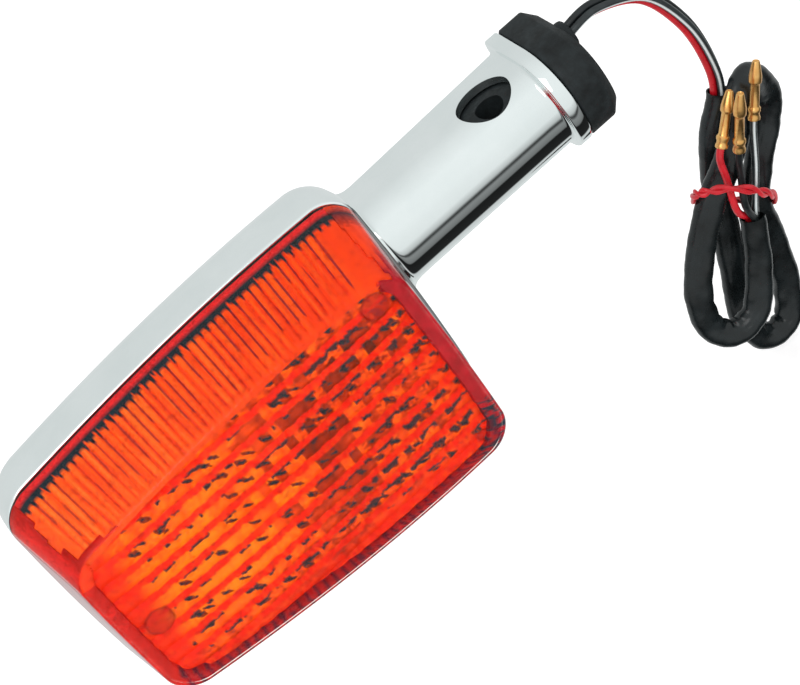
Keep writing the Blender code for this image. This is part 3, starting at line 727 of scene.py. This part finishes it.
def front_base_color(cells):
    x, z, right, fine = cells.x, cells.z, cells.right, cells.fine
    half_random = cells.half_random(2)
    # glow: painted light, brightest left of the middle, then varied by cell, half cell, grain and
    # pillow, with a painted highlight on each pillow
    left = np.exp(-(((x + 20) / 24) ** 2) - ((z + 7) / 21) ** 2)
    glow = 0.52 + 0.36 * left + 0.10 * (cells.cell_random - 0.5)
    glow += (0.14 + 0.16 * right) * (half_random - 0.5)
    glow += (0.42 + 0.22 * right) * (fine - 0.5) + 0.10 * cells.pillow
    # some half cells get painted dark reflections, brown and mottled, mostly round the middle and the
    # upper right
    middle = np.exp(-(((x - 4) / 22) ** 2) - ((z + 4) / 17) ** 2)
    middle = middle + 0.7 * np.exp(-(((x - 34) / 14) ** 2) - ((z - 10) / 7) ** 2)
    dark = (half_random > 0.60 - 0.10 * right - 0.18 * clamp(middle)) * (x > -34)
    dark = dark * (0.35 + 0.65 * clamp((x + 24) / 34))
    glow -= (0.24 + 0.34 * middle) * dark * (0.35 + 1.1 * fine)
    # painted shade, darker towards the bottom at the left
    glow -= 0.22 * clamp((-z - 16) / 14) * (x < 8)
    # the side margins and the lower rows turn plain red
    redness = clamp((-37 - x) / 6) + clamp((x - 43) / 5) * 0.7 + clamp((-z - 28) / 5) * 0.8
    redness = np.clip(redness * (0.7 + 0.6 * cells.cell_random), 0, 0.93)[..., None]
    color = blend_stops(glow, FRONT_STOPS)
    return (color * (1 - redness) + (RED * 0.92) * redness) * WARM


def paint_dark_reflections_and_shade(cells, color):
    """Painted dark reflections as eyes in half cells, and painted shade as dark slivers under the
    risers.
    """
    x, z, down, row, fine = cells.x, cells.z, cells.down, cells.row, cells.fine
    grain = fine[..., None]
    # odds: more marks to the right and low down, none at the left margin or the bottom
    odds = 0.34 + 0.42 * cells.right + 0.45 * clamp((-z - 12) / 10)
    odds = odds - 0.9 * clamp((-36 - x) / 6) + 0.2 * clamp((10 - np.abs(z - 12)) / 10)
    odds = clamp(odds) * clamp((z + 30.5 + 0.06 * x) / 4)
    # eye: distance from a leaning ellipse, with a ragged edge
    wide = 0.42 + 0.16 * cells.half_random(12)
    tall = 0.10 + 0.14 * cells.half_random(14) * (0.3 + odds)
    off_centre = cells.half_across - 0.5
    lean = 0.50 + 0.20 * (cells.half_random(13) - 0.5) + 0.34 * off_centre
    eye = (off_centre / wide) ** 2 + ((down - lean) / tall) ** 2
    eye = eye + 2.6 * (fine - 0.5) + 1.2 * (value_noise(x / 1.1, z / 0.5, 17) - 0.5)
    seen = (cells.half_random(15) < 0.08 + 0.36 * odds) & (odds > 0.12) & ~cells.riser
    color = paint(color, seen & (eye < 1.5), BROWN * (0.8 + 0.6 * grain))
    color = paint(color, seen & (eye < 0.45), TEAL * (0.7 + 0.5 * grain))
    # slivers of painted shade of varying depth, broken up along the row
    ragged = value_noise(x / 1.3, row * 3.1, 9) * (0.5 + fine) * odds
    sliver = down < cells.riser_end + 0.04 + 0.34 * ragged
    sliver &= (value_noise(x / 1.7, row * 5.3, 11) < 0.20 + 0.40 * odds) & (odds > 0.12)
    return paint(color, sliver & ~cells.riser, TEAL * 0.8 + BROWN * 0.35 * grain)


def paint_risers(cells, color):
    """Red risers with orange flecks, and painted shade darker away from 0.6 of their height."""
    grain, down = cells.fine[..., None], cells.down[..., None]
    red = RED * (0.90 + 0.2 * grain - 0.22 * np.abs(down / RISER_SHARE - 0.6))
    flecks = (ORANGE - RED) * np.clip(1.6 * (grain - 0.50), 0, 0.45)
    return paint(color, cells.riser, (red + flecks) * WARM)


def front_optics():
    x, share = np.meshgrid(np.linspace(*FRONT_X, 300), np.linspace(0, 1, 190))
    crease, bottom = front_limits(x)
    drop = corner_drop(x, FRONT_X, 6.0)
    top, bottom = crease - drop, bottom + drop
    z = top + (bottom - top) * share
    cells = FrontCells(x, z)
    y = front_depth(cells)
    color = paint_dark_reflections_and_shade(cells, front_base_color(cells))
    color = clamp(paint_risers(cells, color))
    # the first strip under the crease is a plain red ledge
    flecks = ORANGE * 0.2 * value_noise(x / 0.6, z, 4)[..., None]
    color = paint(color, crease - z < 0.9, (RED * 0.75 + flecks) * WARM)
    # flat round spots with a dark ring, both painted shade, two of them in line with the screws
    for spot_x, spot_z, radius in SPOTS:
        reach = np.hypot(x - spot_x, z - spot_z)
        ring = np.exp(-(((reach - radius) / 0.35) ** 2))[..., None]
        color = paint(color, reach < radius, color * 0.35 + DEEP * 0.65)
        color = color * (1 - 0.65 * ring) + DEEP * 0.35 * ring
        y = np.where(reach < radius, LENS_FRONT_Y + 2.2, y)
    return grid_piece("lens_pillow_optics", x, y, z, color, smooth=50)


# ---------------------------------------------------------------- optics: ribbed band on top
def top_edge(x, plan, span):
    """Top of a lens outline at x; span is the width its slope is taken over."""
    left, right, bulge = plan[2], plan[3], plan[6]
    return (left + right) / 2 + (right - left) * x / span + bulge * (1 - (x / 53.0) ** 2)


def band_optics():
    x, share = np.meshgrid(np.linspace(*BAND_X, 430), np.linspace(0, 1, 22))
    base_z = top_edge(x, LENS_BASE, LENS_BASE[1] - LENS_BASE[0]) - 0.45
    front_z = top_edge(x, LENS_FRONT, 100.5) - 0.9
    y = LENS_BASE_Y + 0.02 + (LENS_FRONT_Y - LENS_BASE_Y + 0.9) * share
    z = base_z + (front_z - base_z) * share - corner_drop(x, BAND_X, 7.4)
    z -= 1.2 * clamp((share - 0.95) / 0.05) ** 2  # rounded shoulder down to the front
    # ribs fade out at the base, the front and both ends
    rib = np.abs(np.sin(np.pi * x / RIB))
    fade = clamp((share - 0.10) / 0.06) * clamp((0.97 - share) / 0.05)
    fade = fade * clamp((46 - x) / 4) * clamp((x + 48) / 2)
    z += 0.55 * (rib - 0.6) * fade
    streak = value_noise(x / 0.5, share * 2.2, 21)
    patch = value_noise(x / RIB, share * 1.5, 23)
    # glow: painted light, brighter on the rib crests as painted highlight, with streaks and patches
    glow = 0.56 + (0.30 * (rib - 0.5) + 0.42 * (streak - 0.5)) * fade + 0.1 * (patch - 0.5)
    color = blend_stops(glow, BAND_STOPS)
    # painted light and shade: lighter and pinker to the left, deeper to the right
    lit = clamp((22 - x) / 50)[..., None]
    tint = 1 - lit + lit * np.array((1.0, 1.12, 1.3)) - (1 - lit) * np.array((0.03, 0.30, 0.62))
    color = clamp(color * tint)
    # painted shade in the grooves between the ribs, darker where less lit
    groove = (rib < 0.50) & (fade > 0.5) & (patch > 0.30) & (streak > 0.25)
    groove &= (share > 0.16) & (share < 0.5 + 0.42 * patch)
    groove_shade_color = tone(98, 26, 40) * (0.75 - 0.28 * lit) + color * (0.25 + 0.28 * lit)
    color = paint(color, groove, groove_shade_color)
    # a dark line of painted shade with a ragged front edge, then a plain strip at the base
    line = (share > 0.075) & (share < 0.135 + 0.06 * (rib < 0.55) + 0.03 * streak)
    color = paint(color, line, TEAL * 0.9)
    color = paint(color, share <= 0.075, tone(226, 36, 34))
    squeeze = 1 - 0.062 * share  # the sides draw in towards the front
    return grid_piece("lens_rib_optics", x * squeeze, y, z, color, smooth=60)


# ---------------------------------------------------------------- optics: side walls
# share of the way to the front outline, y behind the lens front, insets, zone
WALL_FRONT = [
    (0.985, 1.0, (0.75, 0.75, 0.75, 0.75), 1),
    (1.0, 0.6, (1.4, 1.4, 1.3, 1.3), 1),
    (1.0, 0.62, (2.3, 2.4, 1.6, 1.9), 2),
    (1.0, 0.9, (3.1, 3.5, 1.7, 2.5), 2),
    (1.0, 2.6, (3.4, 3.8, 1.8, 2.8), 3),
]
WALL_SHARES = (0.0, 0.1, 0.3, 0.5, 0.7, 0.9, 0.955)  # zone 0


def wall_color(x, z, share, zone, coarse, fine):
    mottle = 0.8 + 0.4 * coarse
    # painted light and shade: the left wall lighter and warmer than the right
    color = (tone(178, 22, 30) if x > 0 else tone(204, 28, 18)) * mottle
    if zone < 2:
        color = color * (0.9 + 0.2 * fine)
    if z < -24 and abs(x) < 47.5:  # along the bottom: painted shade, dark, toothed towards the front
        if zone == 0 and share < 0.9:
            color = tone(112, 20, 32) * (0.7 + 0.6 * coarse)
        else:
            tooth = abs(math.sin(math.pi * x / 2.6)) + 0.5 * (fine - 0.5)
            dark = tooth < 0.42 + 0.08 * zone
            color = (tone(96, 20, 34) if dark else tone(176, 22, 24)) * mottle
    # painted dark reflection in the lower right corner
    if x > 40 and z < -24 and fine > 0.52:
        color = tone(40, 44, 52)
    # painted light at the upper right
    if x > 0 and z > 22.5:
        color = tone(252, 60, 12) * (0.82 + 0.3 * fine)
        # painted shade near the rim
        if zone == 0 and 0.05 < share < 0.2:
            color = tone(70, 34, 38)
    # painted light high up on the front zones
    if z > 12 and zone > 0 and x < 40:
        color = tone(250, 56, 16)
    return color


def side_walls():
    """Inner walls of the lens at the left, bottom and right, a little inside the skin."""
    depth = LENS_FRONT_Y - LENS_BASE_Y
    rings = [(share, LENS_BASE_Y + depth * share + 0.02, (0.5,) * 4, 0) for share in WALL_SHARES]
    rings += [(share, LENS_FRONT_Y + y, insets, zone) for share, y, insets, zone in WALL_FRONT]
    loops, colors = [], []
    for share, y, insets, zone in rings:
        plan = blend_plans(LENS_BASE, LENS_FRONT, share)
        loop = []
        for px, _, z in outline(y, plan, insets, 7.0, corner_steps=20, edge_steps=90):
            x = px - LAMP_X
            coarse = float(value_noise(x / 2.3, z / 2.3, 31))
            fine = float(value_noise(x / 0.7 + y / 3, z / 0.7, 33))
            colors.append(wall_color(x, z, share, zone, coarse, fine))
            if zone >= 2 and z < 12 and abs(x) > 40:  # toothed margin where the cells begin
                x -= math.copysign(0.45 * (fine - 0.5), x)
            loop.append((x + LAMP_X, y, z))
        loops.append(loop)
    n, side_rings = len(loops[0]), len(WALL_SHARES)
    faces = []
    for a in range(len(loops) - 1):
        # the ribbed band takes the top between these limits
        band_z, band_x = (20.0, 49.0) if a < side_rings else (11.0, 45.5)
        for k in range(n):
            j = (k + 1) % n
            lower, x = min(loops[a][k][2], loops[a][j][2]), abs(loops[a][k][0] - LAMP_X)
            if not (lower > band_z and x < band_x):
                faces.append((a * n + k, a * n + j, (a + 1) * n + j, (a + 1) * n + k))
    shape = ([p for loop in loops for p in loop], faces)
    return piece("lens_side_optics", shape, OPTICS, "lamp", smooth=60, colors=np.array(colors))


BOSS = [(-34.0, 3.3), (-33.6, 3.6), (-1.3, 3.6), (-1.0, 3.4), (-1.0, 1.6), (-13.5, 1.6)]  # y, radius


def build_optics():
    for optics in (front_optics(), band_optics(), side_walls()):
        solid = optics.modifiers.new("thickness", "SOLIDIFY")
        solid.thickness = 0.0004
        solid.offset = 0
    for side, (x, z) in SCREWS.items():
        shape = loft(lathe(BOSS, 40, "Y", (x, 0, z)))
        colors = np.tile(RED * 0.7, (len(shape[0]), 1))
        boss = piece(f"lens_boss_{side}", shape, OPTICS, "lamp", smooth=40, colors=colors)


# ---------------------------------------------------------------- damper
PLUG_END = [(-33.5, 9.2, 10.4), (-33.2, 9.6, 10.8), (-32.5, 9.8, 11.0)]  # x, radius, back
DAMPER_FLANGE = [  # x, inset from the flange's full size
    (DAMPER_X, 0.6), (DAMPER_X + 0.2, 0.25), (DAMPER_X + 0.6, 0.0), (-7.5, 0.0), (-5.0, 0.0),
    (-2.9, 0.0), (-2.5, 0.12), (-0.5, 2.0), (-0.12, 2.35), (0.0, 2.7),
]


def build_damper():
    loops = [section(*row) for row in PLUG_END]
    x, radius, back = PLUG_END[-1]
    loops += [section(x + (DAMPER_X - x) * k / 12, radius, back + 0.2 * k / 12) for k in range(1, 13)]
    for x, inset in DAMPER_FLANGE:
        loops.append(section(x, FLANGE_R - 0.2 - inset, 16.3 - inset * 1.05, 0.6))
    loops += [scaled(loops[-1], factor, 0, 0.0) for factor in (0.85, 0.6, 0.35)]
    damper = piece("damper_block", loft(loops), RUBBER, smooth=32)
    cut(damper, loft(lathe([(-14, 3.8), (14, 3.8)], 64, "Z", (PIVOT_X, 0, 0))))
    nub = lathe([(-2.0, 4.1), (0.9, 4.1), (1.5, 3.9), (1.8, 3.5)], 40, "X", (0, 3.2, 9.4))
    nub += lathe([(1.8, 2.7), (-1.9, 2.7)], 40, "X", (0, 3.0, 9.8))
    grommet = piece("wire_grommet", loft(nub, ring=True), RUBBER, "damper", smooth=40)
    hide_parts("rubber_damper")
    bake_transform(damper)


# ---------------------------------------------------------------- wiring
# x, y, z of the leads' route: through the damper, down through the air, then in the sleeve
CHANNEL = [(-24.0, 7.3, 3.0), (-14.0, 7.3, 3.5), (-6.0, 5.6, 7.0), (1.0, 3.0, 10.0)]
AIR = [(10.5, 3.0, 10.2), (22.3, 3.0, 3.2), (28.3, 3.0, -11.0), (29.4, 3.0, -25.0)]
SLEEVE = [
    (27.208, 3, -35.808), (19.812, 4, -47.114), (15.042, 7, -62.606), (11.295, 8, -77.973),
    (6.993, 8, -92.211), (2.977, 8, -105.911), (5.363, 9, -117.935), (13.420, 10, -119.974),
    (18.997, 10, -109.483), (21.559, 9, -92.931), (22.851, 7, -76.595), (28.490, 6, -65.180),
    (35.869, 6, -56.079), (38.714, 4, -47.064), (35.223, 0, -36.745), (29.562, -3, -36.778),
    (23.895, -3, -44.707), (16.458, -2, -52.676), (8.453, -1, -59.665), (-0.034, 0, -70.292),
    (-6.943, 0, -81.923), (-8.532, 0, -93.106), (-4.020, -1, -99.516), (3.785, -2, -97.683),
    (10.788, -2, -86.558), (16.516, -2, -71.686),
]
ROUTE_STEPS = 10
ROUTE = curve_through(CHANNEL + AIR + SLEEVE, ROUTE_STEPS)
ROUTE_AXES = frames(ROUTE)
SLEEVE_START = ROUTE_STEPS * (len(CHANNEL) + len(AIR))
FLAT_NORMAL = Vector((0.0894, 0.7744, -0.6264))  # the sleeve is flattened along this


def sleeve_radius(i, angle):
    """Thin tube: slack and flattened, folded on the inside of each bend, with soft creases."""
    k, end = SLEEVE_START + i, len(ROUTE) - 1
    u, v = ROUTE_AXES[k]
    wide = (ROUTE[min(k + 1, end)] - ROUTE[k - 1]).normalized().cross(FLAT_NORMAL)
    from_wide = angle - math.atan2(v.dot(wide), u.dot(wide))
    s = i / ROUTE_STEPS
    # flatter away from both ends
    slack = min(1.0, 0.3 + s / 3) * min(1.0, 0.45 + (end - k) / 25)
    radius = 3.12 + 0.82 * math.cos(2 * from_wide) * slack
    ahead = (ROUTE[min(k + 4, end)] - ROUTE[k]).normalized()
    bend = ahead - (ROUTE[k] - ROUTE[k - 4]).normalized()
    if bend.length > 0.05:
        inward = math.cos(angle - math.atan2(v.dot(bend), u.dot(bend)))
        amount = min(bend.length, 0.8)
        fold = 0.75 + 0.55 * math.sin(11.0 * s + 1.5 * math.sin(2 * angle))
        radius += amount * (0.25 * max(0.0, -inward) - max(0.0, inward) * fold)
    radius += 0.10 * math.sin(9.0 * s + 2 * math.sin(angle)) * math.sin(1.7 * s + angle)
    radius += 0.05 * math.sin(21 * s + 3 * angle)
    return max(radius, 2.35)


def build_sleeve():
    path, axes = ROUTE[SLEEVE_START:], ROUTE_AXES[SLEEVE_START:]
    outer = tube_loops(path, sleeve_radius, 40, axes)
    inner = tube_loops(path, lambda i, angle: sleeve_radius(i, angle) - 0.35, 40, axes)
    shape = loft(outer + inner[::-1], ring=True)
    sleeve = piece("pvc_sleeve", shape, SLEEVE_PVC, "damper", smooth=50)
    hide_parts("wire_sleeve")


# colour: place round the route in radians, material, slot, two points of the tail,
# then the start and end of the terminal
LEADS = {
    "red": (
        0.0, RED_PVC, "red_pvc", [(12.628, -5, -63.604), (14.1346, -6.3, -52.0044)],
        (17.017, -7, -42.125), (26.651, -6.5, -30.210),
    ),
    "black": (
        2.1, BLACK_PVC, "black_pvc", [(14.9686, -6.3, -62.7264), (17.6432, -6.6, -54.5168)],
        (19.822, -9.5, -44.731), (26.223, -13.5, -27.412),
    ),
    "black_white": (
        4.2, TRACER, "tracer_pvc", [(18.038, -5, -65.718), (22.7726, -6.3, -54.8744)],
        (27.907, -8, -41.317), (35.642, -9, -26.642),
    ),
}
# bullet terminal: share of its length, offset, radius
BULLET = [
    (0, 2.4, 1.15), (0, 0, 1.25), (0, -0.12, 1.5), (0, 0.02, 1.68), (0.04, 0, 1.72),
    (0.075, 0, 1.5), (0.12, 0, 1.5), (0.15, 0, 1.72), (0.195, 0, 1.72), (0.215, 0, 1.45),
    (0.24, 0, 1.28), (0.6, 0, 1.26), (0.625, 0, 1.45), (0.64, 0, 1.68), (0.66, 0, 1.72),
    (0.74, 0, 1.72), (0.78, 0, 1.6), (1, -0.4, 1.02), (1, -0.1, 0.9), (1, 0, 0.7), (1, -0.2, 0.5),
]


def build_lead(colour, place, material, slot, tail, start, end):
    start, end = Vector(start), Vector(end)
    direction = (end - start).normalized()
    path = []
    for i, (centre, (u, v)) in enumerate(zip(ROUTE, ROUTE_AXES)):
        # half a turn round the route over the first ten spans of the sleeve
        share = min(max(i - SLEEVE_START, 0) / (10 * ROUTE_STEPS), 1)
        turn = place + 1.2 + math.pi * (1 - share)
        path.append(centre + (u * math.cos(turn) + v * math.sin(turn)) * 1.25)
    loose = [path[-1]] + tail + [start - direction * 3.0, start + direction * 2.0]
    path += curve_through(loose, 8)[1:]
    n = 20
    shape = loft(tube_loops(path, 1.0, n))
    stripe = [float(k % n in (9, 10)) for k in range(len(path) * n)] + [0.0, 0.0]
    stripe = np.array(stripe)[:, None].repeat(3, 1)
    wire = piece(f"lead_wire_{colour}", shape, material, "damper", 60, stripe, "stripe")
    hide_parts(f"wire_{colour}")
    build_bullet(colour, start, direction, (end - start).length)


def build_bullet(colour, start, direction, length):
    up = direction.orthogonal().normalized()
    axes = [(up, direction.cross(up))] * len(BULLET)
    path = [start + direction * (share * length + offset) for share, offset, _ in BULLET]
    loops = tube_loops(path, lambda i, angle: BULLET[i][2], 36, axes)
    terminal = piece(f"bullet_{colour}", loft(loops), BRASS, smooth=40)
    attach(terminal, "damper")
    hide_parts(f"terminal_{colour}")


# Red band round the bundle: its middle, then vectors to its side and its deep edge,
# the dip of its lower half and its waver
BAND_MIDDLE = Vector((15.7073, 1.6, -65.9397))
BAND_SIDE = Vector((9.717, 0, -9.717))
BAND_DEEP = Vector((3.498, 11, -9.812))
BAND_DIP = Vector((-1.287, 0, -2.421))
BAND_WAVER = Vector((-0.1144, 0, -0.2152))
BAND_STEPS, BAND_TWISTS = 240, 7


def band_point(k):
    angle = 2 * math.pi * k / BAND_STEPS
    c, s = math.cos(angle), math.sin(angle)
    point = BAND_MIDDLE + BAND_SIDE * math.copysign(abs(c) ** 0.7, c)
    point += BAND_DEEP * math.copysign(abs(s) ** 0.7, s)
    return point + BAND_DIP * min(s, 0) + BAND_WAVER * math.sin(5 * angle)


def band_cord(start_phase):
    loops = []
    for k in range(BAND_STEPS):
        tangent = (band_point(k + 1) - band_point(k - 1)).normalized()
        u = BAND_DIP.normalized()
        u = (u - tangent * u.dot(tangent)).normalized()
        v = tangent.cross(u)
        phase = 2 * math.pi * BAND_TWISTS * k / BAND_STEPS + start_phase
        centre = band_point(k) + u * (0.72 * math.cos(phase)) + v * (0.3 * math.sin(phase))
        angles = [2 * math.pi * j / 16 for j in range(16)]
        loops.append(
            [tuple(centre + u * (0.68 * math.cos(a)) + v * (0.5 * math.sin(a))) for a in angles]
        )
    return loft(loops, ring=True)


def build_band():
    """Two cords twisted round each other."""
    shape = join(band_cord(0), band_cord(math.pi))
    band = piece("red_band", shape, RED_PVC, "damper", smooth=60)
    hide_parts("bundle_band")


# ---------------------------------------------------------------- contact spring
def build_spring():
    """Four turns along +X."""
    length, radius, turns, steps = 4.0, 5.9, 4, 24
    coil = []
    for k in range(turns * steps + 1):
        angle = 2 * math.pi * k / steps
        x = -82.8 + length * k / (turns * steps)
        y, z = -11.0 + radius * math.cos(angle), -2.0 + radius * math.sin(angle)
        coil.append(Vector((x, y, z)))
    spring = piece("spring_coil", loft(tube_loops(coil, 0.34, 8)), STEEL, smooth=60)
    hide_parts("contact_spring")
    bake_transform(spring)


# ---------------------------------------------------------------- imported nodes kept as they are
FINISH = {
    "lens_gasket": RUBBER, "reflector": MIRROR,
    "lens_screw_upper": STEEL, "lens_screw_lower": STEEL,
    "lens_screw_washer_upper": PHENOLIC, "lens_screw_washer_lower": PHENOLIC,
    "socket_shell": STEEL, "socket_insulator": PHENOLIC,
    "stem_screw_upper": STEEL, "stem_screw_lower": STEEL,
    "lead_red": RED_PVC, "lead_black": BLACK_PVC, "lead_black_white": BLACK_PVC,
    "contact_disc": PHENOLIC, "contact_turn": BRASS, "contact_running": BRASS,
    "bulb_base": BRASS, "bulb_glass": GLASS,
    "bulb_filament_turn": TUNGSTEN, "bulb_filament_running": TUNGSTEN, "mount_spacer": STEEL,
}


def finish_packed_nodes():
    for name, material in FINISH.items():
        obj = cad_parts[name]
        if not obj.material_slots:
            obj.data.materials.append(material)
        for slot in obj.material_slots:
            slot.material = material


# ---------------------------------------------------------------- floor, studio, camera
# Reflected studio, as a turn round the X axis: 0.25 down, 0.5 towards -Y, 0.75 up,
# and 0 and 1 towards +Y. Each stop is a position and a grey.
STUDIO = [
    (0.0, 0.72), (0.18, 0.76), (0.262, 0.62), (0.276, 0.02), (0.357, 0.012), (0.363, 0.17),
    (0.392, 0.26), (0.397, 0.05), (0.403, 0.06), (0.411, 0.52), (0.445, 0.84), (0.56, 0.92),
    (0.68, 0.93), (0.80, 0.82), (0.88, 0.74), (1.0, 0.72),
]


def build_floor():
    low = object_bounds()[0]
    bpy.ops.mesh.primitive_plane_add(size=8, location=(-0.06, 0.0, low[2] - 0.004))
    floor = bpy.context.object
    floor.name = "floor"
    glow = {"Emission_Color": (1, 1, 1, 1), "Emission_Strength": 0.25}
    mat = Material("pale_floor", (0.97, 0.97, 0.97), rough=0.9, **glow)
    floor.data.materials.append(mat.material)
    floor.visible_glossy = False


def build_world():
    """Glossy rays see the banded studio, and all others a plain white."""
    world = bpy.data.worlds.new("studio")
    bpy.context.scene.world = world
    world.use_nodes = True
    tree = world.node_tree
    tree.nodes.clear()

    def calculate(operation, a, b):
        return add_node(tree, "ShaderNodeMath", {0: a, 1: b}, operation=operation).outputs[0]

    direction = add_node(tree, "ShaderNodeTexCoord").outputs["Generated"]
    axes = add_node(tree, "ShaderNodeSeparateXYZ", {0: direction}).outputs
    angle = calculate("ARCTAN2", axes["Z"], calculate("MULTIPLY", axes["Y"], -1.0))
    position = calculate("ADD", calculate("DIVIDE", angle, 2 * math.pi), 0.5)
    # slightly short of red
    bands = add_ramp(tree, position, [(p, (grey * 0.955, grey, grey)) for p, grey in STUDIO])
    studio = add_node(tree, "ShaderNodeBackground", {"Color": bands})
    white = {"Color": (1, 1, 1, 1), "Strength": 0.95}
    plain = add_node(tree, "ShaderNodeBackground", white)
    glossy = add_node(tree, "ShaderNodeLightPath").outputs["Is Glossy Ray"]
    choice = {0: glossy, 1: plain.outputs[0], 2: studio.outputs[0]}
    mixer = add_node(tree, "ShaderNodeMixShader", choice)
    add_node(tree, "ShaderNodeOutputWorld", {"Surface": mixer.outputs[0]})


def build_key_light():
    light = bpy.data.lights.new("key", "AREA")
    light.energy, light.size = 1.6, 0.5
    key = bpy.data.objects.new("key", light)
    key.location = (-0.35, -0.45, 0.55)
    aim = Vector((-0.08, 0, -0.02)) - key.location
    key.rotation_euler = aim.to_track_quat("-Z", "Y").to_euler()
    bpy.context.scene.collection.objects.link(key)


def build_camera():
    lens = bpy.data.cameras.new("camera")
    lens.lens, lens.sensor_width = 108.0, 36.0
    lens.clip_start, lens.clip_end = 0.01, 20
    camera = add_object("camera", lens)
    right = Vector((0.74309, -0.47065, -0.47571))
    up = Vector((0.66318, 0.42291, 0.61752))
    backward = Vector((-0.08945, -0.77436, 0.62639))
    pose = Matrix((right, up, backward)).transposed().to_4x4()
    pose.translation = Vector((-0.1320, -0.46446, 0.35042))
    camera.matrix_world = pose
    scene = bpy.context.scene
    scene.camera = camera
    scene.view_settings.view_transform = "Standard"
    scene.view_settings.look = "None"


build_housing()
build_stem()
build_lens_skin()
build_optics()
build_damper()
build_sleeve()
for lead_colour, lead in LEADS.items():
    build_lead(lead_colour, *lead)
build_band()
build_spring()
finish_packed_nodes()
build_floor()
build_world()
build_key_light()
build_camera()
